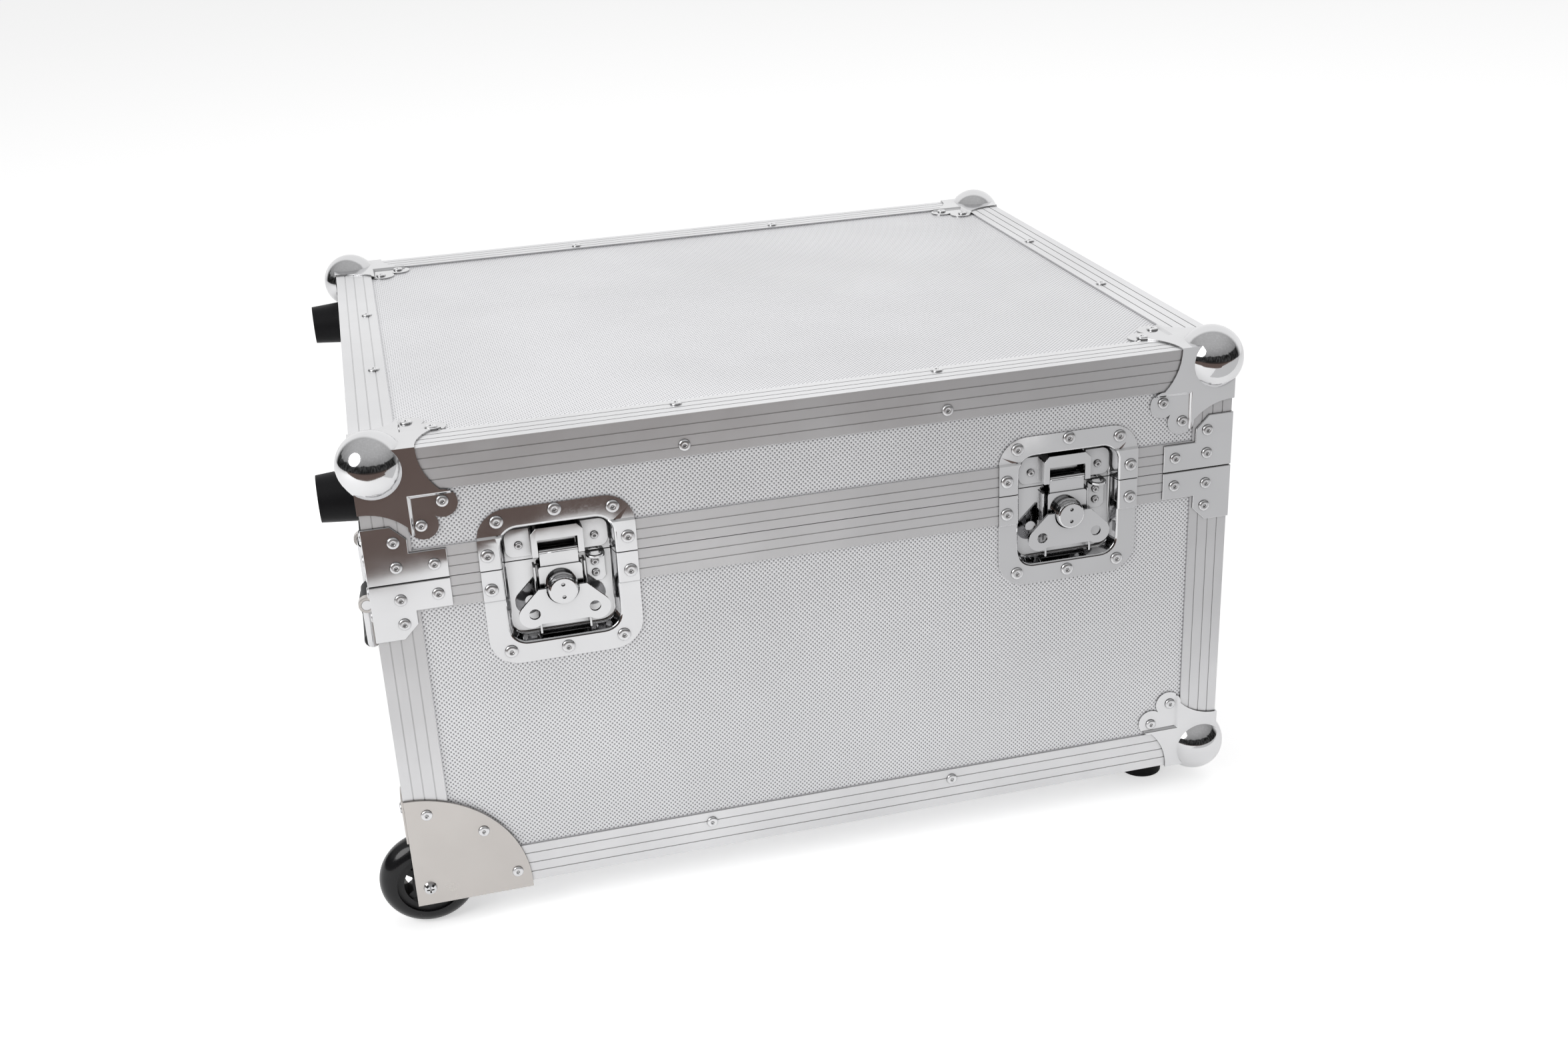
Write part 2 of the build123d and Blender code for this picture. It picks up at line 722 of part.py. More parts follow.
def wheel_hub():
    """Spoked hub of the front wheel, bored for a bearing at each end."""
    half = wheel_w / 2
    rim_t = wheel_w - 5
    middle = wheel_face + half
    hub = extrude(wheel_axis(middle - rim_t / 2) * (Circle(tyre_inner_r) - Circle(hub_rim_r)), rim_t)
    hub += extrude(wheel_axis(middle - half) * Circle(hub_boss_r), wheel_w)
    for number in range(spoke_count):
        spoke = Rot(0, 0, number * 360 / spoke_count) * rect(hub_boss_r - 1, hub_rim_r + 1, -spoke_w / 2, spoke_w / 2)
        hub += extrude(wheel_axis(middle - rim_t / 2 + 2) * spoke, rim_t - 4)
    hub -= extrude(wheel_axis(0) * Circle(axle_r + 2.5), 2 * wheel_w)
    for start in (wheel_face, wheel_face + wheel_w - bearing_w):
        hub -= extrude(wheel_axis(start) * Circle(bearing_r), bearing_w)
    return hub


def wheel_bearings():
    """The two ball bearings of the front wheel, as closed rings."""
    ring = Circle(bearing_r) - Circle(axle_r)
    starts = (wheel_face, wheel_face + wheel_w - bearing_w)
    return [extrude(wheel_axis(start) * ring, bearing_w) for start in starts]


# Feet


def foot():
    """Conical rubber foot standing down from the underside: bored for its screw, bossed onto the corner tab."""
    seat = -sheet_t
    tip = -stand_off
    outline = Polyline(
        (foot_bore_r, tip),
        (foot_tip_r, tip),
        (foot_base_r, seat),
        (foot_boss_r, seat),
        (foot_boss_r, panel_face - sheet_t),
        (0, panel_face - sheet_t),
        (0, seat - foot_floor),
        (foot_bore_r, seat - foot_floor),
        close=True,
    )
    return turned(outline)


def foot_screw():
    """Domed screw head on the floor of a foot's bore."""
    top = -sheet_t - foot_floor
    r = foot_bore_r - 1.5
    outline = Polyline((0, top), (r, top), (0.72 * r, top - 2.2), (0, top - 2.8), close=True)
    return turned(outline)


def turned(outline):
    """A round piece about the upright axis, from an outline of radius and height."""
    return revolve(Rot(90, 0, 0) * make_face(outline), Axis.Z)


def under(shape, x, y):
    """Places a piece drawn at the origin under the case."""
    return Pos(x, y, 0) * shape


def on_left_face(shape, y, z):
    """Turns a piece that stands down so that it stands out from the left face."""
    return Pos(0, y, z) * Rot(0, 90, 0) * shape


# Rivets


def rivet(r):
    """Low domed head of a blind rivet, standing up from the origin."""
    outline = Polyline((0, 0), (r, 0), (rivet_top_r / 4.1 * r, rivet_h), (0, rivet_h), close=True)
    return turned(outline)


def rivet_front(x, z, out, r=rivet_r):
    """A rivet on the front face, standing out from a depth measured forwards from the extrusions."""
    return Pos(x, -out, z) * Rot(90, 0, 0) * rivet(r)


def rivet_left(y, z, out, r=rivet_r):
    """A rivet on the left face."""
    return Pos(-out, y, z) * Rot(0, -90, 0) * rivet(r)


def rivet_under(x, y, out, r=rivet_r):
    """A rivet on the underside."""
    return Pos(x, y, -out) * Rot(180, 0, 0) * rivet(r)


def corner_rivets(faces):
    """The rivets of one ball corner at the front left of the underside, on the named faces."""
    out = sheet_t - panel_face
    a, b = corner_tab_far, corner_tab_near - 1.5
    heads = []
    for p, q in ((a, b), (b, a)):
        if "front" in faces:
            heads.append(rivet_front(p, q, out))
        if "left" in faces:
            heads.append(rivet_left(p, q, out))
        if "under" in faces:
            heads.append(rivet_under(p, q, out))
    return heads


def brace_rivets(side):
    """The rivets of one corner brace at the front left, on both its faces."""
    places = (
        (brace_leg_w - 9.0, brace_h - 11.4),
        (brace_leg_w - 9.3, closing_h / 2 + 0.8),
        (brace_band_w - 8.9, closing_h / 2 - 0.2),
    )
    heads = []
    for a, h in places:
        z = base_h + side * h
        heads += [rivet_front(a, z, sheet_t), rivet_left(a, z, sheet_t)]
    return heads


def latch_rivets(side, x):
    """The rivets of one half of a latch dish, in its flange."""
    flange = sheet_t - panel_face
    row = dish_top - 8.5 if side > 0 else 10.1 - dish_bottom
    middle = dish_top - 4.8 if side > 0 else 7.6 - dish_bottom
    flank = latch_below_seam + side * (closing_h / 2 if side > 0 else 0.64 * closing_h)
    corner_u, flank_u = dish_half_w - 14.3, dish_half_w - 5.9
    heads = [rivet_front(x + u, latch_z + row, flange, latch_rivet_r) for u in (-corner_u, corner_u)]
    heads.append(rivet_front(x, latch_z + middle, flange, latch_rivet_r))
    heads += [rivet_front(x + u, latch_z + flank, sheet_t, latch_rivet_r) for u in (-flank_u, flank_u)]
    return heads


def dome_rivets(x, places, depth):
    """Small dome rivets inside a latch."""
    return [rivet_front(x + u, latch_z + w, -depth, 2.8) for u, w in places]


# Hinges


def hinge_leaf(side):
    """One leaf of the left back hinge with its share of the knuckle. side is 1 for the lid leaf."""
    x0 = case_w / 2 - hinge_offset - hinge_w / 2
    pitch = hinge_w / hinge_knuckles
    gap = 0.3
    z0, z1 = sorted((base_h + side * gap, base_h + side * hinge_leaf_h))
    leaf = block(x0, x0 + hinge_w, case_d, case_d + hinge_leaf_t, z0, z1)
    axis = Plane(origin=(0, hinge_y, base_h), x_dir=(0, 1, 0), z_dir=(1, 0, 0))
    mine = [number for number in range(hinge_knuckles) if (number % 2 == 1) == (side > 0)]
    for number in range(hinge_knuckles):
        start = x0 + number * pitch
        if number not in mine:
            leaf -= extrude(axis.offset(start - gap) * Circle(knuckle_r + gap), pitch + 2 * gap)
    for number in mine:
        start = x0 + number * pitch + gap
        barrel = Circle(knuckle_r)
        barrel += rect(case_d - hinge_y, 0, 0, knuckle_r) if side > 0 else rect(case_d - hinge_y, 0, -knuckle_r, 0)
        barrel &= rect(case_d - hinge_y, knuckle_r, -knuckle_r, knuckle_r)
        if side > 0:
            barrel += rect(0, knuckle_r + hinge_stop, -1, 1)
        leaf += extrude(axis.offset(start) * barrel, pitch - 2 * gap)
    return leaf - extrude(axis.offset(x0 - 1) * Circle(hinge_pin_r + shaft_gap), hinge_w + 2)


def hinge_pin():
    """The pin of the left back hinge, with a small head at each end."""
    x0 = case_w / 2 - hinge_offset - hinge_w / 2
    axis = Plane(origin=(x0 - 1.5, hinge_y, base_h), x_dir=(0, 1, 0), z_dir=(1, 0, 0))
    pin = extrude(axis * Circle(hinge_pin_r), hinge_w + 3)
    head = Circle(hinge_pin_r + 0.8)
    return pin + extrude(axis * head, 1.2) + extrude(axis.offset(hinge_w + 1.8) * head, 1.2)


def hinge_rivets(side):
    """The rivets of one leaf of the left back hinge."""
    x0 = case_w / 2 - hinge_offset
    z = base_h + side * 2 / 3 * hinge_leaf_h
    return [to_back(rivet_front(x0 + u * hinge_w, z, hinge_leaf_t)) for u in (-0.37, 0.0, 0.37)]


# Carrying handle


def handle_plate():
    """Pressed plate on the left panel, with two lugs for the bail."""
    middle = case_d / 2
    z_top = handle_pivot_z + handle_plate_rise
    outline = RectangleRounded(handle_plate_w, handle_plate_h, 8)
    face = panel_face - handle_plate_t
    plane = Plane(origin=(face, middle, z_top - handle_plate_h / 2), x_dir=(0, 1, 0), z_dir=(1, 0, 0))
    plate = extrude(plane * outline, handle_plate_t)
    lug_r = handle_rod_r + 2.5
    for side in (-1, 1):
        start = middle + side * (handle_half_w + handle_rod_r + 1)
        low, high = sorted((start, start + side * handle_lug_t))
        lug = Plane(origin=(-handle_out, low, handle_pivot_z), x_dir=(1, 0, 0), z_dir=(0, 1, 0))
        outline = Circle(lug_r) + rect(0, handle_out + face, -lug_r, lug_r)
        plate += extrude(lug * outline, high - low)
        plate -= extrude(lug.offset(-1) * Circle(handle_rod_r + shaft_gap), high - low + 2)
    return plate


def handle_bail():
    """Bent steel rod: two stub ends in the lugs, two legs, and the bar that carries the grip."""
    middle = case_d / 2
    stub = handle_half_w + handle_rod_r + 1 + handle_lug_t
    low = handle_pivot_z - handle_drop
    points = [
        (-handle_out, middle - stub, handle_pivot_z),
        (-handle_out, middle - handle_half_w, handle_pivot_z),
        (-handle_out, middle - handle_half_w, low),
        (-handle_out, middle + handle_half_w, low),
        (-handle_out, middle + handle_half_w, handle_pivot_z),
        (-handle_out, middle + stub, handle_pivot_z),
    ]
    path = FilletPolyline(*points, radius=handle_bend_r)
    return sweep(Plane(origin=points[0], z_dir=(0, 1, 0)) * Circle(handle_rod_r), path)


def handle_grip():
    """Moulded grip round the bar of the bail, with rounded ends."""
    half = handle_grip_len / 2
    r = handle_grip_r
    outline = Polyline(
        (handle_rod_r, -half),
        (r - 1.2, -half),
        (r, 1.5 - half),
        (r, half - 1.5),
        (r - 1.2, half),
        (handle_rod_r, half),
        close=True,
    )
    grip = revolve(make_face(outline), Axis.Y)
    return Pos(-handle_out, case_d / 2, handle_pivot_z - handle_drop) * grip


# Telescopic handle


def pull_plane(x, y_offset):
    """The plane square to one tube, at a distance from the left face."""
    return Plane(origin=(x, pull_y + y_offset, pull_z), x_dir=(0, 1, 0), z_dir=(1, 0, 0))


def pull_bezel():
    """Moulded tray in the right end: a rim on the panel, four walls, and a floor bored for the tubes."""
    face = case_w - panel_face
    floor = case_w - tray_depth
    rim = tray_wall + bezel_rim
    outline = RectangleRounded(2 * (tray_half_w + rim), tray_low + tray_high + 2 * rim, 6)
    offset = (tray_high - tray_low) / 2
    plane = pull_plane(face, 0)
    bezel = extrude(plane * (Pos(0, offset) * outline), bezel_t)
    w, low, high = tray_half_w + tray_wall, tray_low + tray_wall, tray_high + tray_wall
    bezel += block(floor - tray_wall, face, pull_y - w, pull_y + w, pull_z - low, pull_z + high)
    pocket = rect(-tray_half_w, tray_half_w, -tray_low, tray_high)
    pocket = fillet(pocket.vertices(), 4)
    bezel -= extrude(pull_plane(floor, 0) * pocket, tray_depth + 10)
    for side in (-1, 1):
        bezel -= extrude(pull_plane(floor - 10, side * pull_tube_y) * Circle(outer_tube_r), 20)
    return bezel


def pull_tubes(r, wall, x0, x1):
    """The pair of tubes of one stage."""
    ring = Circle(r) - Circle(r - wall)
    return [extrude(pull_plane(x0, side * pull_tube_y) * ring, x1 - x0) for side in (-1, 1)]


def pull_bushes():
    """Plastic bushes in the mouths of the outer tubes."""
    x1 = case_w - tray_depth
    ring = Circle(outer_tube_r - outer_tube_t) - Circle(inner_tube_r + shaft_gap)
    return [extrude(pull_plane(x1 - bush_len, side * pull_tube_y) * ring, bush_len) for side in (-1, 1)]


def pull_bracket():
    """Bracket on the floor that holds the far ends of the outer tubes."""
    width = pull_tube_y + outer_tube_r + bracket_foot
    x0 = tube_end_x - bracket_rim
    x1 = x0 + bracket_w
    bracket = block(x0, x1, pull_y - width, pull_y + width, panel_back, panel_back + bracket_t)
    half = outer_tube_r + bracket_rim
    for side in (-1, 1):
        y = pull_y + side * pull_tube_y
        bracket += block(x0, x1, y - half, y + half, panel_back, pull_z + half)
        bracket -= extrude(pull_plane(tube_end_x, side * pull_tube_y) * Circle(outer_tube_r), 40)
    return bracket


def pull_grip():
    """Pull grip that closes flush in the tray, with sockets for the tubes and a slot for the button."""
    x1 = case_w - grip_inset
    x0 = x1 - grip_d
    outline = rect(-grip_half_w, grip_half_w, -grip_half_h, grip_half_h)
    outline = fillet(outline.vertices(), 5)
    grip = extrude(pull_plane(x0, 0) * outline, grip_d)
    grip = fillet(grip.faces().sort_by(Axis.X)[-1].edges(), 2)
    reach = pull_tube_y - 2.2 * outer_tube_r
    hollow = rect(-reach, reach, -grip_half_h / 2, grip_half_h / 2)
    grip -= extrude(pull_plane(x0 - 1, 0) * fillet(hollow.vertices(), 4), 6)
    for side in (-1, 1):
        grip -= extrude(pull_plane(x0 - 1, side * pull_tube_y) * Circle(inner_tube_r), grip_d - 6)
    slot = rect(-button_half_w - 0.2, button_half_w + 0.2, -button_half_h - 0.2, button_half_h + 0.2)
    depth = button_travel + 5
    return grip - extrude(pull_plane(x1 - depth, 0) * slot, depth + 5)


def pull_button():
    """Release button in the outer face of the grip."""
    x1 = case_w - grip_inset + button_proud
    length = 5 + button_proud - fit_gap
    outline = fillet(rect(-button_half_w, button_half_w, -button_half_h, button_half_h).vertices(), 2)
    return extrude(pull_plane(x1 - length, 0) * outline, length)


def pull_cover():
    """Cover that boxes the tubes in: a top and two sides standing on the bottom panel."""
    top = pull_z + tray_high + tray_wall + fit_gap + cover_t
    x0, x1 = profile_inner_leg + 0.5, case_w - profile_inner_leg - 0.5
    outer = block(x0, x1, pull_y - cover_half_w, pull_y + cover_half_w, panel_back, top)
    inner = block(
        x0 - 1, x1 + 1, pull_y - cover_half_w + cover_t, pull_y + cover_half_w - cover_t, 0, top - cover_t
    )
    return outer - inner, top


# Lining


def lining_walls(z0, z1):
    """Four wall pads between two heights."""
    near, far = lining_face, lining_face + lining_t
    front = block(far + fit_gap, case_w - far - fit_gap, near, far, z0, z1)
    left = block(near, far, near, case_d - near, z0, z1)
    return front, to_back(front), left, to_right(left)


def dish_pocket(x):
    """The room that a latch needs behind the front wall."""
    half = recess_half_w + 4
    back = recess_depth + sheet_t + fit_gap + 1.5 + 1
    return block(x - half, x + half, -1, back, latch_z - recess_bottom - 4, latch_z + recess_top + 4)


def base_lining(cover_top):
    """Pads on the walls, in the two bays of the floor and on the tube cover."""
    near, far = lining_face, lining_face + lining_t
    top = base_h - 0.65 * closing_h - fit_gap
    front, back, left, right = lining_walls(far + fit_gap, top)
    for x in latch_places:
        front -= dish_pocket(x)
    bay = block(near, case_w - near, near, pull_y - cover_half_w - fit_gap, near, far)
    roof_x = far + fit_gap
    roof = block(
        roof_x, case_w - roof_x, pull_y - cover_half_w, pull_y + cover_half_w, cover_top + fit_gap, cover_top + 6
    )
    size = well_size + 2 * sheet_t + fit_gap
    well = block(-10, size, -10, well_depth + 2 * sheet_t + fit_gap, -10, size)
    wells = [well, to_back(well)]
    right -= block(
        case_w - far - 1,
        case_w,
        pull_y - cover_half_w - fit_gap,
        pull_y + cover_half_w + fit_gap,
        0,
        cover_top + fit_gap,
    )
    front -= wells[0]
    back -= wells[1]
    left -= wells
    bay -= wells[0]
    return [front, back, left, right, bay, to_back(bay), roof]


def lid_lining():
    """Pads on the walls and under the top of the lid."""
    near, far = lining_face, lining_face + lining_t
    z0 = base_h + 0.82 * closing_h + fit_gap
    front, back, left, right = lining_walls(z0, case_h - far - fit_gap)
    for x in latch_places:
        front -= dish_pocket(x)
    top = block(near, case_w - near, near, case_d - near, case_h - far, case_h - near)
    return [front, back, left, right, top]


for name, panel in zip(("bottom", "front", "back", "left", "right"), base_panels()):
    save(f"base_{name}_panel", panel)
for name, panel in zip(("top", "front", "back", "left", "right"), lid_panels()):
    save(f"lid_{name}_panel", panel)
save("base_bottom_edges", *base_edges())
save("lid_top_edges", *lid_edges())
well_top = well_size + sheet_t + fit_gap
left_post = corner_posts(well_top, base_h - closing_h)
right_post = to_right(corner_posts(profile_w, base_h - closing_h))
save("base_corner_posts", left_post, to_back(left_post), right_post, to_back(right_post))
save("lid_corner_posts", *four_corners(corner_posts(base_h + closing_h, case_h - profile_w)))
save("base_closing_frame", *closing_frame(-1))
save("lid_closing_frame", *closing_frame(1))

low_corner = ball_corner()
save("base_ball_corners", to_right(low_corner), to_back(to_right(low_corner)))
save("lid_ball_corners", *[to_top(one) for one in four_corners(low_corner)])
save("base_corner_braces", *four_corners(corner_brace(-1)))
save("lid_corner_braces", *four_corners(corner_brace(1)))

dishes = [latch_dishes(x) for x in latch_places]
save("latch_lid_dishes", *[lid for lid, base in dishes])
save("latch_base_dishes", *[base for lid, base in dishes])
save("latch_keepers", *[latch_keeper(x) for x in latch_places])
save("latch_channels", *[latch_channel(x) for x in latch_places])
save("latch_padlock_eyes", *[padlock_eye(x) for x in latch_places])
for name, x in zip(("left", "right"), latch_places):
    save(f"latch_{name}_knob", latch_knob(x))
    save(f"latch_{name}_wing", latch_wing(x))
    save(f"latch_{name}_hook", latch_hook(x))

save("wheel_wells", wheel_well(), to_back(wheel_well()))
plates = wheel_plates()
save("wheel_corner_plates", *plates, *[to_back(one) for one in plates])
save("wheel_axle_bolts", axle_bolt(), to_back(axle_bolt()))
for name, turn in (("front", lambda one: one), ("back", to_back)):
    save(f"wheel_{name}_tyre", turn(wheel_tyre()))
    save(f"wheel_{name}_hub", turn(wheel_hub()))
    save(f"wheel_{name}_bearings", *[turn(one) for one in wheel_bearings()])

foot_x = case_w - foot_inset
foot_z = case_h - foot_inset
save("bottom_feet", under(foot(), foot_x, foot_inset), under(foot(), foot_x, case_d - foot_inset))
save("side_feet", on_left_face(foot(), foot_inset, foot_z), on_left_face(foot(), case_d - foot_inset, foot_z))

left_hinge = {side: hinge_leaf(side) for side in (-1, 1)}
save("hinge_base_leaves", left_hinge[-1], to_right(left_hinge[-1]))
save("hinge_lid_leaves", left_hinge[1], to_right(left_hinge[1]))
save("hinge_pins", hinge_pin(), to_right(hinge_pin()))

save("side_handle_plate", handle_plate())
save("side_handle_bail", handle_bail())
save("side_handle_grip", handle_grip())

tube_front = case_w - tray_depth
save("trolley_bezel", pull_bezel())
save("trolley_outer_tubes", *pull_tubes(outer_tube_r, outer_tube_t, tube_end_x, tube_front))
save("trolley_tube_bushes", *pull_bushes())
save("trolley_end_bracket", pull_bracket())
grip_back = case_w - grip_inset - grip_d
save("trolley_inner_tubes", *pull_tubes(inner_tube_r, inner_tube_t, tube_end_x + 6, grip_back + grip_d - 7))
save("trolley_grip", pull_grip())
save("trolley_button", pull_button())
cover, cover_top = pull_cover()
save("trolley_cover", cover)
save("base_lining", *base_lining(cover_top))
save("lid_lining", *lid_lining())

# Fasteners of the base
edge_line = edge_rivet_line
rivet_places_w = (case_w / 2 - edge_rivet_half_w, case_w / 2 + edge_rivet_half_w)
rivet_places_d = (case_d / 2 - edge_rivet_half_d, case_d / 2 + edge_rivet_half_d)
base_heads = []
for one in brace_rivets(-1):
    base_heads += four_corners(one)
for one in corner_rivets(("front", "left")):
    base_heads += [to_right(one), to_back(to_right(one))]
for x in latch_places:
    base_heads += latch_rivets(-1, x)
    base_heads += dome_rivets(x, ((eye_middle - 0.5, 5.6), (eye_middle - 0.5, -2.6)), recess_depth - eye_t)
for one in hinge_rivets(-1):
    base_heads += [one, to_right(one)]
for x in rivet_places_w:
    base_heads += [rivet_front(x, edge_line, 0), to_back(rivet_front(x, edge_line, 0)), rivet_under(x, edge_line, 0)]
    base_heads.append(to_back(rivet_under(x, edge_line, 0)))
for y in rivet_places_d:
    base_heads += [rivet_left(y, edge_line, 0), to_right(rivet_left(y, edge_line, 0))]
for turn, margin in ((78.0, 11.4), (43.0, 10.8), (8.4, 9.2)):
    a = (wheel_plate_r - margin) * math.cos(math.radians(turn))
    b = (wheel_plate_r - margin) * math.sin(math.radians(turn))
    for one in (rivet_front(a, b, wheel_plate_t), rivet_left(a, b, wheel_plate_t)):
        base_heads += [one, to_back(one)]
plate_margin = 14.0
plate_top = handle_pivot_z + handle_plate_rise
for y in (plate_margin - handle_plate_w / 2, handle_plate_w / 2 - plate_margin):
    for z in (plate_top - handle_plate_h + 1.4 * plate_margin, plate_top - 0.43 * plate_margin):
        base_heads.append(rivet_left(case_d / 2 + y, z, handle_plate_t - panel_face))
base_heads += [under(foot_screw(), foot_x, foot_inset), under(foot_screw(), foot_x, case_d - foot_inset)]
save("base_fasteners", *base_heads)

# Fasteners of the lid
lid_heads = []
for one in brace_rivets(1):
    lid_heads += four_corners(one)
for one in corner_rivets(("front", "under")):
    lid_heads += [to_top(head) for head in four_corners(one)]
for one in corner_rivets(("left",)):
    lid_heads += [to_top(to_right(one)), to_top(to_back(to_right(one)))]
for x in latch_places:
    lid_heads += latch_rivets(1, x)
    ear_u = (keeper_half_w + keeper_reach) / 2 - 0.6
    ear_w = (keeper_low + keeper_top) / 2 - 2.2
    lid_heads += dome_rivets(x, ((-ear_u, ear_w), (ear_u, ear_w)), recess_depth - keeper_t)
for one in hinge_rivets(1):
    lid_heads += [one, to_right(one)]
for x in rivet_places_w:
    for one in (rivet_front(x, edge_line, 0), rivet_under(x, edge_line, 0)):
        lid_heads += [to_top(one), to_top(to_back(one))]
for y in rivet_places_d:
    for one in (rivet_left(y, edge_line, 0), rivet_under(edge_line, y, 0)):
        lid_heads += [to_top(one), to_top(to_right(one))]
for y in (foot_inset, case_d - foot_inset):
    lid_heads.append(on_left_face(foot_screw(), y, foot_z))
save("lid_fasteners", *lid_heads)
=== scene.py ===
"""Looks of the trolley flight case: its finishes, detailed pieces, floor, light and camera."""

import json
import logging
import math
from dataclasses import dataclass, field
from enum import Enum

import bmesh
import bpy
from mathutils import Matrix, Vector


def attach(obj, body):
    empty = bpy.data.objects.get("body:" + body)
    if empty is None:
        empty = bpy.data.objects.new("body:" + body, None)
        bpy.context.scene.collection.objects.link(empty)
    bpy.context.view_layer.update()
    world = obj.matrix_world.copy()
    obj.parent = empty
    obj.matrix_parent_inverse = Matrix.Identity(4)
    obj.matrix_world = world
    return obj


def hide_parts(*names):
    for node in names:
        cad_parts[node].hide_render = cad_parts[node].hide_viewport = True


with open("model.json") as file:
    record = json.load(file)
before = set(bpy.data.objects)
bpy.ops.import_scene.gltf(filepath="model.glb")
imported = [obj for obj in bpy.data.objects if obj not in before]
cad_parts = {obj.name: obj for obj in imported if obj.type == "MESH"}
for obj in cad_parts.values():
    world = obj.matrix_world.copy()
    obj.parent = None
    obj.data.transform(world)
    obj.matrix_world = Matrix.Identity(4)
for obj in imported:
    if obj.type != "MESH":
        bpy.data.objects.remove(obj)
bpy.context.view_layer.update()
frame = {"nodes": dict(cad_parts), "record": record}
log = logging.getLogger("flight_case")

MM = 0.001
PHOTO_W = 2352
MERGE = 1e-6
FLAT_DEGREES = 0.5
FLAT_WEIGHT = 80
ORIGIN = (303.1, 260.0, -25.0)

Triple = tuple[float, float, float]
Colour = tuple[float, float, float, float]
Points = tuple[tuple[float, float], ...]
Socket = bpy.types.NodeSocket
Node = bpy.types.Node
Material = bpy.types.Material
Piece = bpy.types.Object
Edge = bmesh.types.BMEdge
FLOAT = "NodeSocketFloat"
VECTOR = "NodeSocketVector"


def at(x: float, y: float, z: float) -> Vector:
    """Turns case millimetres, from the front lower left corner, into the part's frame in metres."""
    return Vector([(part - start) * MM for part, start in zip((x, y, z), ORIGIN)])


def in_case(point: Vector) -> Triple:
    """Turns a point of the part's frame into case millimetres."""
    return tuple(part / MM + start for part, start in zip(point, ORIGIN))


class Side(Enum):
    """The plane that a flat pattern lies in."""

    TOP = ("X", "Y")
    FRONT = ("X", "Z")
    END = ("Y", "Z")


# Node trees


class Wiring:
    """Adds nodes and links to one node tree."""

    def __init__(self, tree: bpy.types.NodeTree) -> None:
        """Starts on a tree.

        Args:
            tree: the tree that the nodes go in.
        """
        self.tree = tree

    def node(self, kind: str, **settings: object) -> Node:
        """Adds a node.

        Args:
            kind: the node's type name.
            **settings: values of the node's properties.

        Returns:
            The new node.
        """
        new = self.tree.nodes.new(kind)
        for name, value in settings.items():
            setattr(new, name, value)
        return new

    def feed(self, value: object, socket: Socket) -> None:
        """Links a socket to an input, or writes a constant into it.

        Args:
            value: a socket or a constant.
            socket: the input.
        """
        if isinstance(value, Socket):
            self.tree.links.new(value, socket)
        else:
            socket.default_value = value

    def fill(self, node: Node, **values: object) -> None:
        """Feeds several inputs of a node, by name with _ for a space."""
        for label, value in values.items():
            self.feed(value, node.inputs[label.replace("_", " ")])

    def calc(self, operation: str, *values: object, clamp: bool = False) -> Socket:
        """Adds a Math node.

        Args:
            operation: the node's operation.
            *values: sockets or numbers for its inputs.
            clamp: whether the result is kept between 0 and 1.

        Returns:
            The result's socket.
        """
        new = self.node("ShaderNodeMath", operation=operation, use_clamp=clamp)
        for number, value in enumerate(values):
            self.feed(value, new.inputs[number])
        return new.outputs[0]

    def times(self, first: object, second: object) -> Socket:
        """Multiplies two values."""
        return self.calc("MULTIPLY", first, second)

    def plus(self, first: object, second: object) -> Socket:
        """Adds two values."""
        return self.calc("ADD", first, second)

    def remap(self, value: object, low: float, high: float, to_low: float, to_high: float) -> Socket:
        """Maps a value smoothly from one range to another.

        Args:
            value: a socket or a number.
            low: where the first range starts.
            high: where it ends.
            to_low: where the second range starts.
            to_high: where it ends.

        Returns:
            The result's socket.
        """
        new = self.node("ShaderNodeMapRange", interpolation_type="SMOOTHSTEP")
        for number, part in enumerate((value, low, high, to_low, to_high)):
            self.feed(part, new.inputs[number])
        return new.outputs[0]

    def noise(self, vector: object, scale: float, detail: float = 3.0, rough: float = 0.5) -> Socket:
        """Adds a Noise texture.

        Args:
            vector: the place's socket.
            scale: how many blots there are to the metre.
            detail: how many finer layers it has.
            rough: how much each of them counts.

        Returns:
            The value's socket.
        """
        new = self.node("ShaderNodeTexNoise")
        self.fill(new, Vector=vector, Scale=scale, Detail=detail, Roughness=rough)
        return new.outputs["Fac"]

    def stretched(self, vector: object, scale: Triple) -> Socket:
        """Scales a vector.

        Args:
            vector: its socket.
            scale: the factor along each axis.

        Returns:
            The result's socket.
        """
        new = self.node("ShaderNodeVectorMath", operation="MULTIPLY")
        self.feed(vector, new.inputs[0])
        new.inputs[1].default_value = scale
        return new.outputs[0]

    def show(self, result: Socket) -> None:
        """Feeds a shader into the material's output."""
        self.feed(result, self.node("ShaderNodeOutputMaterial").inputs[0])

    def mix(self, factor: object, first: object, second: object, blend: str = "MIX") -> Socket:
        """Mixes two colours.

        Args:
            factor: the second one's share.
            first: the first colour.
            second: the second colour.
            blend: how the second one works on the first.

        Returns:
            The result's socket.
        """
        new = self.node("ShaderNodeMix", data_type="RGBA", blend_type=blend)
        self.feed(factor, new.inputs[0])
        self.feed(first, new.inputs[6])
        self.feed(second, new.inputs[7])
        return new.outputs[2]


def clean_tree(owner: bpy.types.ID) -> Wiring:
    """Empties a node tree.

    Args:
        owner: the material or the world that has it.

    Returns:
        Its wiring.
    """
    owner.use_nodes = True
    owner.node_tree.nodes.clear()
    return Wiring(owner.node_tree)


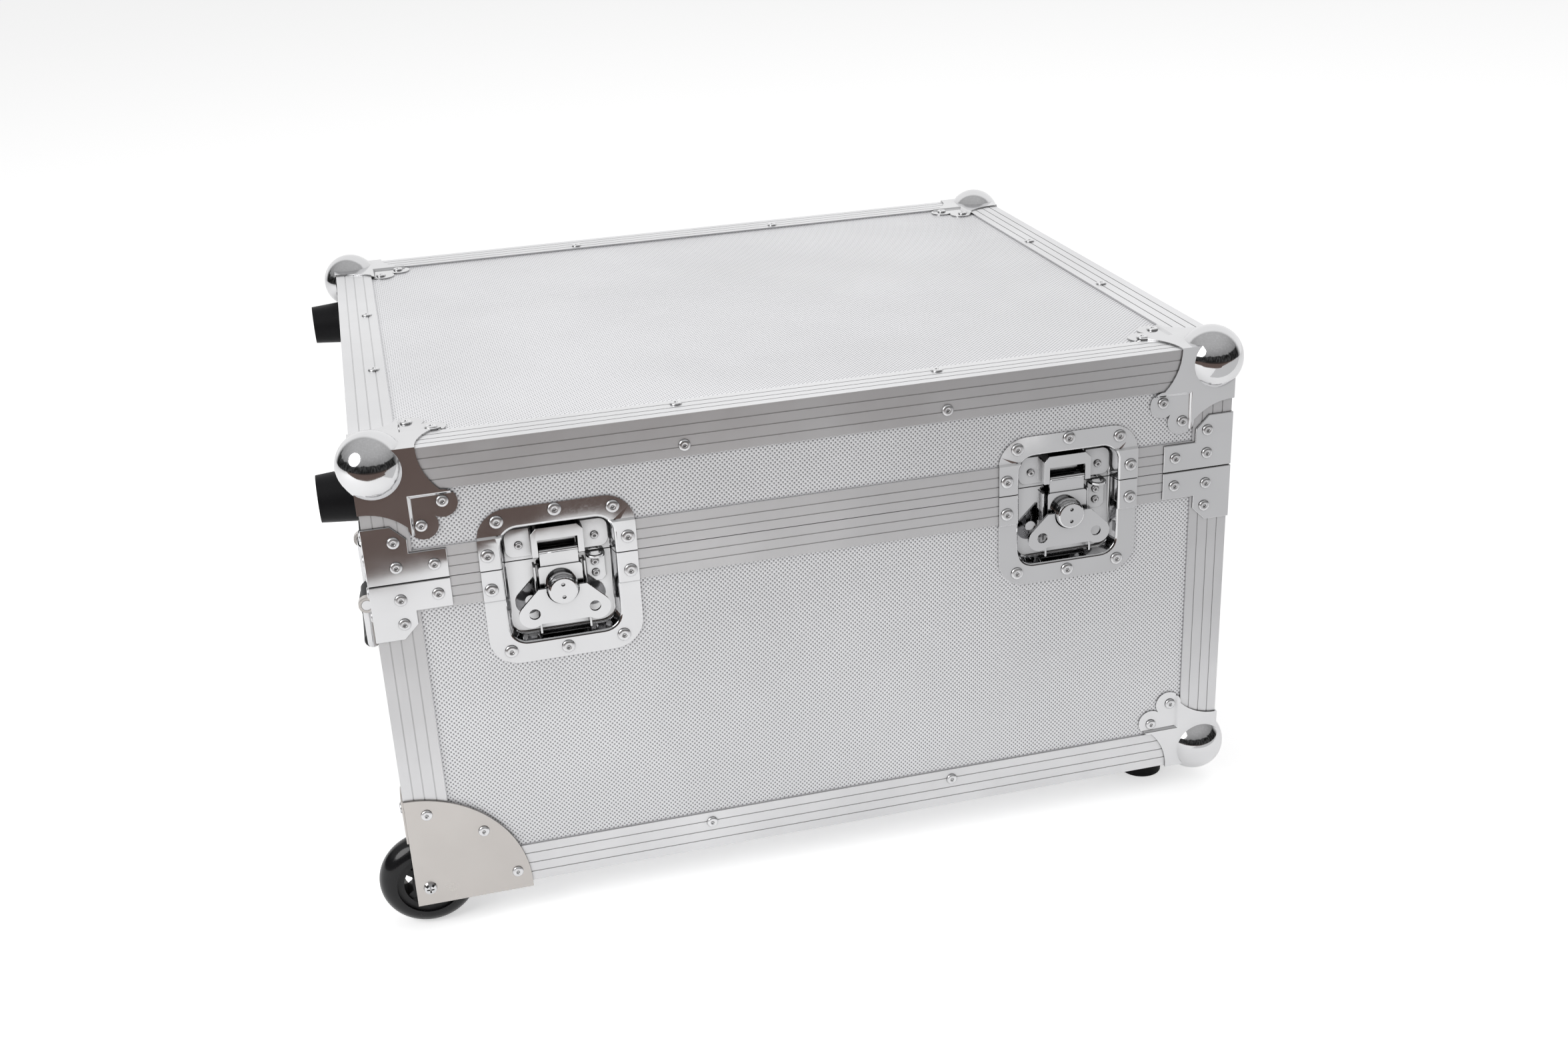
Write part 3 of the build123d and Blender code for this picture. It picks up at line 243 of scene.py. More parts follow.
@dataclass(frozen=True)
class Effect:
    """A surface effect that several finishes share, as a node group."""

    name: str
    inputs: tuple[tuple[str, str, float], ...]
    outputs: tuple[str, ...]

    def open(self) -> tuple[Wiring, bpy.types.NodeInputs, bpy.types.NodeOutputs]:
        """Makes the group with its sockets.

        Returns:
            The wiring, the sockets that bring the inputs and the sockets that take the outputs.
        """
        tree = bpy.data.node_groups.new(self.name, "ShaderNodeTree")
        for label, kind, value in self.inputs:
            socket = tree.interface.new_socket(name=label, in_out="INPUT", socket_type=kind)
            if kind == FLOAT:
                socket.default_value = value
        for label in self.outputs:
            tree.interface.new_socket(name=label, in_out="OUTPUT", socket_type=FLOAT)
        wiring = Wiring(tree)
        return wiring, wiring.node("NodeGroupInput").outputs, wiring.node("NodeGroupOutput").inputs

    def place(self, wiring: Wiring, **values: object) -> Node:
        """Places the group in a material.

        Args:
            wiring: the material's wiring.
            **values: sockets or numbers for its inputs, by name with _ for a space.

        Returns:
            The group node.
        """
        new = wiring.node("ShaderNodeGroup", node_tree=bpy.data.node_groups[self.name])
        wiring.fill(new, **values)
        return new


EMBOSS = Effect(
    "Embossed diamond weave",
    (("Across", FLOAT, 0), ("Along", FLOAT, 0), ("Pitch", FLOAT, 0.0032), ("Row", FLOAT, 0.0017)),
    ("Height", "Pit"),
)
SCRATCHES = Effect(
    "Handling scratches",
    (("Vector", VECTOR, 0), ("Scale", FLOAT, 12), ("Amount", FLOAT, 0.3)),
    ("Mask",),
)
CLOUDS = Effect(
    "Soft variation",
    (("Vector", VECTOR, 0), ("Scale", FLOAT, 6), ("Low", FLOAT, 0), ("High", FLOAT, 1)),
    ("Value",),
)
# Painted shade: darkens the colour in corners and recesses, where shade falls, found by ambient occlusion.
CREVICE = Effect(
    "Painted shade in corners",
    (("Reach", FLOAT, 0.012), ("Depth", FLOAT, 0.6)),
    ("Mask",),
)
DUST = Effect(
    "Settled dust",
    (("Vector", VECTOR, 0), ("Amount", FLOAT, 0.1)),
    ("Mask",),
)


def build_effects() -> None:
    """Builds the shared node groups."""
    wiring, inside, outside = EMBOSS.open()
    across = wiring.calc("DIVIDE", inside["Across"], inside["Pitch"])
    across = wiring.calc("COSINE", wiring.times(across, 2 * math.pi))
    along = wiring.calc("DIVIDE", inside["Along"], inside["Row"])
    along = wiring.calc("COSINE", wiring.times(along, math.pi))
    lattice = wiring.times(across, along)
    wiring.feed(wiring.remap(lattice, -0.75, 0.55, 1.0, 0.0), outside["Height"])
    # The pit mask carries the painted shade of the dimples.
    wiring.feed(wiring.remap(lattice, 0.05, 0.75, 0.0, 1.0), outside["Pit"])

    wiring, inside, outside = SCRATCHES.open()
    total = None
    for turn, share in ((0.35, 1.0), (-0.9, 0.8), (1.45, 0.6)):
        rotate = wiring.node("ShaderNodeVectorRotate", rotation_type="EULER_XYZ")
        wiring.feed(inside["Vector"], rotate.inputs["Vector"])
        rotate.inputs["Rotation"].default_value = (turn, turn * 0.7, turn * 1.3)
        drawn = wiring.stretched(rotate.outputs[0], (1, 26, 26))
        lines = wiring.noise(drawn, inside["Scale"], 2.0, 0.55)
        away = wiring.calc("ABSOLUTE", wiring.calc("SUBTRACT", lines, 0.5))
        band = wiring.remap(away, 0.0, 0.012, share, 0.0)
        total = band if total is None else wiring.calc("MAXIMUM", total, band)
    patches = wiring.noise(inside["Vector"], 9.0, 2.0)
    patches = wiring.remap(patches, 0.45, 0.7, 0.0, 1.0)
    total = wiring.times(wiring.times(total, patches), inside["Amount"])
    wiring.feed(total, outside["Mask"])

    wiring, inside, outside = CLOUDS.open()
    cloud = wiring.noise(inside["Vector"], inside["Scale"], 4.0, 0.55)
    cloud = wiring.remap(cloud, 0.3, 0.7, inside["Low"], inside["High"])
    wiring.feed(cloud, outside["Value"])

    # Painted shade in corners: the less open space a point sees, the stronger the mask.
    wiring, inside, outside = CREVICE.open()
    corner = wiring.node("ShaderNodeAmbientOcclusion", samples=6)
    wiring.feed(inside["Reach"], corner.inputs["Distance"])
    shade = wiring.remap(corner.outputs["AO"], 0.25, 0.95, 1.0, 0.0)
    wiring.feed(wiring.times(shade, inside["Depth"]), outside["Mask"])

    wiring, inside, outside = DUST.open()
    speck = wiring.noise(inside["Vector"], 900.0, 2.0)
    speck = wiring.remap(speck, 0.62, 0.72, 0.0, 1.0)
    drift = wiring.noise(inside["Vector"], 14.0, 3.0)
    drift = wiring.remap(drift, 0.4, 0.75, 0.1, 1.0)
    both = wiring.times(speck, drift)
    wiring.feed(wiring.times(both, inside["Amount"]), outside["Mask"])


# Finishes


def start_material(name: str) -> tuple[Material, Wiring, Node, Socket]:
    """Makes a material with a Principled shader.

    Args:
        name: the material's name.

    Returns:
        The material, its wiring, the shader and the piece's own coordinates.
    """
    material = bpy.data.materials.new(name)
    wiring = clean_tree(material)
    shader = wiring.node("ShaderNodeBsdfPrincipled")
    wiring.show(shader.outputs[0])
    place = wiring.node("ShaderNodeTexCoord")
    return material, wiring, shader, place.outputs["Object"]


def bump(wiring: Wiring, shader: Node, height: object, strength: float, distance: float) -> None:
    """Feeds a height into a shader's normal.

    Args:
        wiring: the material's wiring.
        shader: the shader.
        height: the height's socket.
        strength: how much of it counts.
        distance: the height of a value of 1, in metres.
    """
    new = wiring.node("ShaderNodeBump")
    wiring.fill(new, Strength=strength, Distance=distance, Height=height)
    wiring.feed(new.outputs[0], shader.inputs["Normal"])


@dataclass(frozen=True)
class Laminate:
    """Light laminate, embossed with staggered dimples, on the case's panels, with painted shade in the
    dimples.
    """

    name: str
    side: Side
    colour: Colour = (0.90, 0.90, 0.92, 1)
    pit_shade_colour: Colour = (0.22, 0.22, 0.23, 1)
    pit_share: float = 0.9
    pitch: float = 0.0032
    row: float = 0.0017
    smooth: float = 0.30
    rough: float = 0.40
    scratch: float = 0.35
    metal: float = 0.35
    relief: float = 0.6
    depth: float = 0.00022

    def build(self) -> Material:
        """Builds the material.

        Returns:
            The material.
        """
        material, wiring, shader, place = start_material(self.name)
        split = wiring.node("ShaderNodeSeparateXYZ")
        wiring.feed(place, split.inputs[0])
        across, along = (split.outputs[axis] for axis in self.side.value)
        weave = EMBOSS.place(wiring, Across=across, Along=along, Pitch=self.pitch, Row=self.row)
        wear = SCRATCHES.place(wiring, Vector=place, Scale=9.0, Amount=self.scratch)
        tone = CLOUDS.place(wiring, Vector=place, Scale=5.0, Low=0.94, High=1.03)
        # Painted shade: the dimples' pits are darkened in the colour, where shade falls in them.
        colour = wiring.mix(wiring.times(weave.outputs["Pit"], self.pit_share), self.colour, self.pit_shade_colour)
        colour = wiring.mix(1.0, colour, tone.outputs[0], "MULTIPLY")
        rough = CLOUDS.place(wiring, Vector=place, Scale=11.0, Low=self.smooth, High=self.rough).outputs[0]
        rough = wiring.plus(rough, wiring.times(wear.outputs[0], 0.2))
        wiring.fill(shader, Base_Color=colour, Roughness=rough, Metallic=self.metal)
        bump(wiring, shader, weave.outputs["Height"], self.relief, self.depth)
        return material


@dataclass(frozen=True)
class Metal:
    """A bare or plated metal with grain, smudges, handling scratches and, where set, painted shade in its
    corners.
    """

    name: str
    colour: Colour
    smooth: float
    rough: float
    scratch: float = 0.3
    grain: Triple = (1, 1, 1)
    grain_scale: float = 300.0
    grain_height: float = 0.0
    waves: float = 0.0
    dust: float = 0.05
    tint: float = 0.92
    # Painted shade in corners and recesses: how strong it is, how far it reaches and its dark colour.
    painted_shade: float = 0.0
    painted_shade_reach: float = 0.012
    dust_colour: Colour = (0.55, 0.54, 0.52, 1)
    painted_shade_colour: Colour = (0.05, 0.047, 0.045, 1)

    def build(self) -> Material:
        """Builds the material.

        Returns:
            The material.
        """
        material, wiring, shader, place = start_material(self.name)
        tone = CLOUDS.place(wiring, Vector=place, Scale=7.0, Low=0.0, High=1.0)
        darker = tuple(self.tint * part for part in self.colour[:3]) + (1,)
        colour = wiring.mix(tone.outputs[0], self.colour, darker)
        wear = SCRATCHES.place(wiring, Vector=place, Scale=14.0, Amount=self.scratch)
        dust = DUST.place(wiring, Vector=place, Amount=self.dust)
        colour = wiring.mix(dust.outputs[0], colour, self.dust_colour)
        # Painted shade: the colour is darkened in corners and recesses, where shade falls.
        if self.painted_shade:
            corner = CREVICE.place(wiring, Depth=self.painted_shade, Reach=self.painted_shade_reach)
            colour = wiring.mix(corner.outputs[0], colour, self.painted_shade_colour)
        streak = wiring.noise(wiring.stretched(place, self.grain), self.grain_scale, 3.0, 0.6)
        rough = CLOUDS.place(wiring, Vector=place, Scale=16.0, Low=self.smooth, High=self.rough).outputs[0]
        rough = wiring.plus(rough, wiring.times(wear.outputs[0], 0.3))
        rough = wiring.calc("ADD", rough, wiring.times(dust.outputs[0], 0.4), clamp=True)
        wiring.fill(shader, Base_Color=colour, Roughness=rough, Metallic=1.0)
        height = wiring.times(streak, self.grain_height)
        if self.waves:
            swell = wiring.noise(place, 38.0, 1.0)
            height = wiring.plus(height, wiring.times(swell, self.waves))
        height = wiring.calc("SUBTRACT", height, wiring.times(wear.outputs[0], 0.003))
        bump(wiring, shader, height, 1.0, 0.001)
        return material


@dataclass(frozen=True)
class Moulded:
    """Moulded rubber, plastic or painted board."""

    name: str
    colour: Colour
    smooth: float
    rough: float
    texture_scale: float = 900.0
    texture_height: float = 0.04
    coat: float = 0.0
    dust: float = 0.2
    sheen: float = 0.3
    dust_colour: Colour = (0.22, 0.21, 0.20, 1)

    def build(self) -> Material:
        """Builds the material.

        Returns:
            The material.
        """
        material, wiring, shader, place = start_material(self.name)
        dust = DUST.place(wiring, Vector=place, Amount=self.dust)
        wear = SCRATCHES.place(wiring, Vector=place, Scale=10.0, Amount=0.4)
        colour = wiring.mix(dust.outputs[0], self.colour, self.dust_colour)
        worn = tuple(min(1.0, part * 1.8 + 0.01) for part in self.colour[:3]) + (1,)
        colour = wiring.mix(wear.outputs[0], colour, worn)
        rough = CLOUDS.place(wiring, Vector=place, Scale=18.0, Low=self.smooth, High=self.rough).outputs[0]
        rough = wiring.plus(rough, wiring.times(wear.outputs[0], 0.15))
        wiring.fill(shader, Base_Color=colour, Roughness=rough, Coat_Weight=self.coat)
        wiring.fill(shader, Specular_IOR_Level=self.sheen)
        grain = wiring.noise(place, self.texture_scale, 2.0)
        bump(wiring, shader, wiring.times(grain, self.texture_height), 1.0, 0.001)
        return material


@dataclass(frozen=True)
class Cloth:
    """Short-napped lining cloth over foam."""

    name: str
    colour: Colour = (0.028, 0.029, 0.033, 1)
    light: Colour = (0.060, 0.062, 0.068, 1)
    rough: float = 0.92
    sheen: float = 0.25
    relief: float = 0.7
    depth: float = 0.0006

    def build(self) -> Material:
        """Builds the material.

        Returns:
            The material.
        """
        material, wiring, shader, place = start_material(self.name)
        nap = wiring.noise(place, 700.0, 4.0, 0.7)
        patch = wiring.noise(place, 9.0, 3.0)
        both = wiring.times(
            wiring.remap(nap, 0.35, 0.7, 0.0, 1.0), wiring.remap(patch, 0.3, 0.7, 0.5, 1.0)
        )
        colour = wiring.mix(both, self.colour, self.light)
        wiring.fill(shader, Base_Color=colour, Roughness=self.rough, Sheen_Weight=self.sheen)
        bump(wiring, shader, nap, self.relief, self.depth)
        return material


def dress(piece: Piece, material: Material) -> None:
    """Gives a piece one material in place of the ones it has."""
    piece.data.materials.clear()
    piece.data.materials.append(material)


class Finishes:
    """All the finishes of the case, by the record's slot names."""

    def __init__(self) -> None:
        """Builds every material once."""
        build_effects()
        self.panels = {side: Laminate(f"panel_{side.name.lower()}", side).build() for side in Side}
        self.cloth = Cloth("lining_cloth").build()
        self.by_slot = {slot: finish.build() for slot, finish in self.plain().items()}
        self.by_slot["lining"] = self.cloth

    def plain(self) -> dict[str, Metal | Moulded]:
        """Lists the finishes of the metals, the rubbers and the plastics.

        Returns:
            The finishes by slot.
        """
        return {
            # The extrusions, the chrome and the rivets get painted shade in their corners and grooves.
            "extrusion": Metal(
                "anodised_aluminium", (0.80, 0.80, 0.81, 1), 0.38, 0.46, scratch=0.4, grain_scale=700.0,
                grain_height=0.004, painted_shade=0.6, painted_shade_reach=0.003,
            ),
            "chromed": Metal(
                "bright_chrome", (0.74, 0.74, 0.75, 1), 0.04, 0.10, scratch=0.2, waves=0.05, dust=0.01,
                painted_shade=0.7,
            ),
            "satin_steel": Metal(
                "satin_steel", (0.62, 0.59, 0.565, 1), 0.26, 0.34, scratch=0.5, grain=(1, 40, 1),
                grain_scale=60.0, grain_height=0.004,
            ),
            "zinc_steel": Metal("zinc_plate", (0.58, 0.59, 0.60, 1), 0.28, 0.42, scratch=0.4),
            "rivet": Metal("rivet_steel", (0.82, 0.82, 0.83, 1), 0.28, 0.36, scratch=0.2, painted_shade=0.7),
            "bearing": Metal("ground_steel", (0.55, 0.55, 0.56, 1), 0.2, 0.3, scratch=0.2),
            "tube": Metal(
                "anodised_tube", (0.72, 0.73, 0.74, 1), 0.22, 0.32, scratch=0.5, grain=(1, 60, 60),
                grain_scale=20.0, grain_height=0.02,
            ),
            "foot_rubber": Moulded("foot_rubber", (0.008, 0.008, 0.009, 1), 0.42, 0.55, sheen=0.12, dust=0.1),
            "grip_rubber": Moulded("grip_rubber", (0.014, 0.014, 0.015, 1), 0.38, 0.52),
            "tyre": Moulded(
                "tyre", (0.009, 0.009, 0.010, 1), 0.18, 0.28, texture_scale=500.0, texture_height=0.01,
                coat=0.2, dust=0.1, sheen=0.25,
            ),
            "hub": Moulded("hub_plastic", (0.02, 0.02, 0.021, 1), 0.3, 0.45),
            "black_plastic": Moulded("moulded_plastic", (0.02, 0.02, 0.021, 1), 0.38, 0.5),
            "cover_board": Moulded("cover_board", (0.05, 0.05, 0.053, 1), 0.55, 0.7),
        }

    def panel(self, node: str) -> Material:
        """Chooses a panel's laminate by the plane that it lies in.

        Args:
            node: the panel's CAD node.

        Returns:
            The laminate.
        """
        if "left" in node or "right" in node:
            return self.panels[Side.END]
        if "top" in node or "bottom" in node:
            return self.panels[Side.TOP]
        return self.panels[Side.FRONT]

    def dress_nodes(self) -> None:
        """Gives every CAD node its finish."""
        slots = {part["node"]: part["material_slot"] for part in frame["record"]["subparts"]}
        for name, node in frame["nodes"].items():
            material = self.panel(name) if slots[name] == "panel" else self.by_slot[slots[name]]
            dress(node, material)
            node.data.polygons.foreach_set("material_index", [0] * len(node.data.polygons))
        log.info("finishes: %d nodes", len(slots))


# Modelling tools


def only(piece: Piece) -> None:
    """Deselects everything, then selects one piece and makes it active.

    Args:
        piece: the piece.
    """
    if bpy.context.object and bpy.context.object.mode != "OBJECT":
        bpy.ops.object.mode_set(mode="OBJECT")
    bpy.ops.object.select_all(action="DESELECT")
    piece.select_set(True)
    bpy.context.view_layer.objects.active = piece


def edit(piece: Piece) -> None:
    """Opens a piece in edit mode, with all of it selected.

    Args:
        piece: the piece.
    """
    only(piece)
    bpy.ops.object.mode_set(mode="EDIT")
    bpy.ops.mesh.select_all(action="SELECT")


def placed(name: str, data: bpy.types.ID) -> Piece:
    """Puts a new object into the scene.

    Args:
        name: its name.
        data: its mesh, lamp or camera.

    Returns:
        The object.
    """
    new = bpy.data.objects.new(name, data)
    bpy.context.collection.objects.link(new)
    return new


def copy_of(piece: Piece) -> Piece:
    """Copies a piece with its own mesh, free of its parent.

    Args:
        piece: the piece.

    Returns:
        The copy.
    """
    new = piece.copy()
    new.data = piece.data.copy()
    new.parent = None
    bpy.context.collection.objects.link(new)
    return new


def finish_piece(piece: Piece, name: str, body: str, material: Material) -> None:
    """Names a finished piece, gives it its finish and lets it ride.

    Args:
        piece: the piece, in place.
        name: its name.
        body: the body it moves with.
        material: its finish.
    """
    only(piece)
    bpy.ops.object.transform_apply(location=True, rotation=True, scale=True)
    piece.name = name
    piece.data.name = name
    dress(piece, material)
    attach(piece, body)
    log.info("piece %s: %d faces", name, len(piece.data.polygons))


def apply_modifier(piece: Piece, kind: str, **settings: object) -> None:
    """Adds a modifier, sets it and applies it.

    Args:
        piece: the piece.
        kind: the modifier's type.
        **settings: values of its properties.
    """
    only(piece)
    modifier = piece.modifiers.new(kind.lower(), kind)
    for label, value in settings.items():
        setattr(modifier, label, value)
    bpy.ops.object.modifier_apply(modifier=modifier.name)


def turned(outline: Points, sides: int) -> Piece:
    """Models a turned piece about the Z axis, by extruding and scaling a disc step by step.

    Args:
        outline: radius and height of each step from the bottom up, in millimetres.
        sides: how many sides the disc has.

    Returns:
        The new piece at the origin.
    """
    bpy.ops.object.select_all(action="DESELECT")
    start_r, start_z = outline[0]
    bpy.ops.mesh.primitive_circle_add(
        vertices=sides, radius=start_r * MM, fill_type="NGON", location=(0, 0, start_z * MM)
    )
    piece = bpy.context.object
    bpy.ops.object.transform_apply(location=True, rotation=True, scale=True)
    edit(piece)
    r, z = start_r, start_z
    for next_r, next_z in outline[1:]:
        bpy.ops.mesh.extrude_region_move(TRANSFORM_OT_translate={"value": (0, 0, (next_z - z) * MM)})
        if next_r != r:
            bpy.ops.transform.resize(value=(next_r / r, next_r / r, 1), center_override=(0, 0, next_z * MM))
        r, z = next_r, next_z
    bpy.ops.mesh.select_all(action="SELECT")
    bpy.ops.mesh.normals_make_consistent(inside=False)
    bpy.ops.object.mode_set(mode="OBJECT")
    return piece


def smooth(piece: Piece, degrees: float) -> None:
    """Smooth shading, with edges sharper than an angle kept."""
    only(piece)
    bpy.ops.object.shade_smooth_by_angle(angle=math.radians(degrees))


def round_edges(piece: Piece, edge: float, segments: int, sharp: float, shade: float) -> None:
    """Rounds a piece's edges and shades it smooth, with its flat faces kept flat.

    Args:
        piece: the piece.
        edge: the bevel's width, in millimetres.
        segments: how many faces each rounded edge has.
        sharp: the angle in degrees from which an edge is rounded.
        shade: the angle in degrees up to which faces are shaded as one.
    """
    apply_modifier(
        piece, "BEVEL", width=edge * MM, segments=segments, limit_method="ANGLE",
        angle_limit=math.radians(sharp),
    )
    smooth(piece, shade)
    apply_modifier(piece, "WEIGHTED_NORMAL", keep_sharp=True, weight=FLAT_WEIGHT)


@dataclass
class Islands:
    """The separate solids of one CAD node, read from a merged copy of its mesh."""

    node: str

    def read(self) -> list[dict[str, object]]:
        """Finds each flat round head: its seat, the way it faces and its radius.

        Returns:
            One dictionary per head, with seat, axis, radius and height.
        """
        mesh = bmesh.new()
        mesh.from_mesh(frame["nodes"][self.node].data)
        bmesh.ops.remove_doubles(mesh, verts=mesh.verts, dist=MERGE)
        heads = []
        seen: set[int] = set()
        for start in mesh.verts:
            if start.index in seen:
                continue
            seen.add(start.index)
            group, queue = [], [start]
            while queue:
                vertex = queue.pop()
                group.append(vertex.co.copy())
                for edge in vertex.link_edges:
                    other = edge.other_vert(vertex)
                    if other.index not in seen:
                        seen.add(other.index)
                        queue.append(other)
            heads.append(self.head(group))
        mesh.free()
        return heads

    def head(self, points: list[Vector]) -> dict[str, object]:
        """Works out where one head sits.

        Args:
            points: the head's points.

        Returns:
            Its seat, axis, radius and height.
        """
        low = Vector([min(p[i] for p in points) for i in range(3)])
        high = Vector([max(p[i] for p in points) for i in range(3)])
        size = high - low
        thin = min(range(3), key=lambda i: size[i])
        middle = (low + high) / 2
        below, above = (
            max((p - middle).length for p in points if abs(p[thin] - level) < MERGE)
            for level in (low[thin], high[thin])
        )
        facing = -1 if below < above else 1
        axis = Vector((0, 0, 0))
        axis[thin] = facing
        seat = middle.copy()
        seat[thin] = low[thin] if facing > 0 else high[thin]
        wide = sorted(size)[1:]
        return {"seat": seat, "axis": axis, "radius": sum(wide) / 4, "height": size[thin]}


@dataclass
class Fasteners:
    """Blind rivets with a domed flange and a hollow middle, and the pan-head screws in the feet."""

    finishes: Finishes
    rivet_outline: Points = (
        (1.0, 0.0), (1.0, 0.30), (0.965, 0.62), (0.86, 0.86), (0.70, 0.98), (0.50, 1.0), (0.36, 0.95),
        (0.30, 0.80), (0.27, 0.45), (0.17, 0.40), (0.10, 0.52),
    )
    screw_outline: Points = (
        (1.0, 0.0), (1.0, 0.25), (0.93, 0.6), (0.74, 0.88), (0.5, 1.0),
    )
    recess: Triple = (1.0, 0.24, 0.9)
    recess_z: float = 0.95
    screw_height: float = 2.2
    spin_step: float = 0.7
    rivet_sides: int = 22
    rivet_shade: float = 50.0
    screw_sides: int = 24
    screw_shade: float = 40.0

    def rivet(self) -> Piece:
        """Models one rivet head of radius 1 and height 1 millimetre.

        Returns:
            The head.
        """
        piece = turned(self.rivet_outline, self.rivet_sides)
        smooth(piece, self.rivet_shade)
        return piece

    def screw(self) -> Piece:
        """Models one pan-head screw of radius 1 and height 1 millimetre, with a cross recess.

        Returns:
            The screw.
        """
        piece = turned(self.screw_outline, self.screw_sides)
        length, width, depth = (part * MM for part in self.recess)
        for size in ((length, width, depth), (width, length, depth)):
            bpy.ops.mesh.primitive_cube_add(size=1, location=(0, 0, self.recess_z * MM))
            cutter = bpy.context.object
            cutter.scale = size
            apply_modifier(piece, "BOOLEAN", operation="DIFFERENCE", object=cutter, solver="EXACT")
            bpy.data.objects.remove(cutter)
        smooth(piece, self.screw_shade)
        return piece

    def build(self, node: str, body: str) -> None:
        """Puts a head on each place of a fastener node.

        Args:
            node: the CAD node of plain heads.
            body: the body that they ride on.
        """
        models = {"rivet": self.rivet(), "screw": self.screw()}
        heads = []
        for number, place in enumerate(Islands(node).read()):
            head = copy_of(models["screw" if place["height"] > self.screw_height * MM else "rivet"])
            turn = Vector((0, 0, 1)).rotation_difference(place["axis"]).to_matrix().to_4x4()
            spin = Matrix.Rotation(self.spin_step * number, 4, "Z")
            r = place["radius"] / MM
            size = Matrix.Diagonal((r, r, place["height"] / MM, 1))
            head.matrix_world = Matrix.Translation(place["seat"]) @ turn @ spin @ size
            heads.append(head)
        only(heads[0])
        for head in heads:
            head.select_set(True)
        bpy.ops.object.transform_apply(location=True, rotation=True, scale=True)
        bpy.ops.object.join()
        joined = bpy.context.object
        for model in models.values():
            bpy.data.objects.remove(model)
        finish_piece(joined, f"{node}_heads", body, self.finishes.by_slot["rivet"])
        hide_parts(node)


@dataclass
class Softened:
    """Pressed and cut metal whose edges are rounded as in the real piece, over its CAD node."""

    finishes: Finishes
    node: str
    body: str
    slot: str
    edge: float = 0.5
    segments: int = 3
    sharp: float = 40.0
    shade: float = 32.0

    def build(self) -> None:
        """Copies the node, merges it, rounds its edges and lets the copy stand for it."""
        piece = copy_of(frame["nodes"][self.node])
        for key in [key for key in piece.keys() if key.startswith("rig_")]:
            del piece[key]
        edit(piece)
        bpy.ops.mesh.remove_doubles(threshold=MERGE)
        bpy.ops.mesh.dissolve_limited(angle_limit=math.radians(FLAT_DEGREES), use_dissolve_boundaries=False)
        self.shape(piece)
        bpy.ops.object.mode_set(mode="OBJECT")
        round_edges(piece, self.edge, self.segments, self.sharp, self.shade)
        finish_piece(piece, f"{self.node}_skin", self.body, self.finishes.by_slot[self.slot])
        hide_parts(self.node)

    def shape(self, piece: Piece) -> None:
        """Works on the merged mesh in edit mode, before its edges are rounded."""


@dataclass
class BallCorners(Softened):
    """Ball corners, whose tabs step down beside the extrusions onto the panels."""

    case: Triple = (620.0, 520.0, 340.0)
    extrusion_w: float = 30.0
    joggle_r: float = 0.72
    shortest: float = 6.0
    steepest: float = 60.0
    ramp: float = 1.6
    outer_bend: float = 1.6
    near: float = 2.6

    def shape(self, piece: Piece) -> None:
        """Slopes every joggle and rounds its bends.

        Args:
            piece: the corners, in edit mode.
        """
        mesh = bmesh.from_edit_mesh(piece.data)
        for part in (*mesh.verts, *mesh.edges, *mesh.faces):
            part.select = False
        bends = [edge for edge in mesh.edges if self.on_joggle(edge)]
        self.slope(bends)
        for edge in bends:
            edge.select = True
        mesh.select_flush(False)
        bmesh.update_edit_mesh(piece.data)
        bpy.ops.mesh.bevel(
            offset=self.joggle_r * MM, segments=3, profile=0.5, affect="EDGES", clamp_overlap=True
        )

    def slope(self, bends: list[Edge]) -> None:
        """Draws each joggle's lower bend away from the extrusion, so that the step is a slope.

        Args:
            bends: the bends of all joggles.
        """
        moves: dict[int, tuple[bmesh.types.BMVert, Vector]] = {}
        for edge in bends:
            axis = self.step_axes(edge)[0]
            place = in_case(edge.verts[0].co)[axis]
            reach = min(place, self.case[axis] - place)
            if edge.calc_face_angle_signed() > 0 or reach < self.extrusion_w + self.outer_bend:
                continue
            inward = 1 if place < self.case[axis] / 2 else -1
            for vertex in edge.verts:
                kept = moves.setdefault(vertex.index, (vertex, Vector((0, 0, 0))))
                kept[1][axis] = inward * self.ramp * MM
        for vertex, move in moves.values():
            vertex.co += move

    def step_axes(self, edge: Edge) -> list[int]:
        """Finds the axes along which an edge lies at the inner edge of an extrusion.

        Args:
            edge: the edge.

        Returns:
            The axes, 0 to 2.
        """
        ends = [
            [min(part, whole - part) for part, whole in zip(in_case(vertex.co), self.case)]
            for vertex in edge.verts
        ]
        return [
            axis for axis in range(3) if all(abs(end[axis] - self.extrusion_w) < self.near for end in ends)
        ]

    def on_joggle(self, edge: Edge) -> bool:
        """Tells whether an edge is a bend along the inner edge of an extrusion.

        Args:
            edge: the edge.

        Returns:
            True for a bend.
        """
        if len(edge.link_faces) != 2 or edge.calc_length() < self.shortest * MM:
            return False
        return edge.calc_face_angle() >= math.radians(self.steepest) and bool(self.step_axes(edge))


@dataclass
class Latch:
    """Places and sizes that the pieces of the two butterfly latches share, in case millimetres."""

    middles: tuple[float, float] = (126.0, 494.0)
    middle_z: float = 233.75
    pocket_half_w: float = 38.0
    pocket_top: float = 41.0
    pocket_bottom: float = 43.0
    pocket_depth: float = 10.0
    seam_z: float = 247.5
    knob_z: float = 227.75
    knob_r: float = 10.2
    knob_groove: tuple[float, ...] = (-4.7, -4.4, -3.6, -3.3)
    groove_scale: float = 0.93


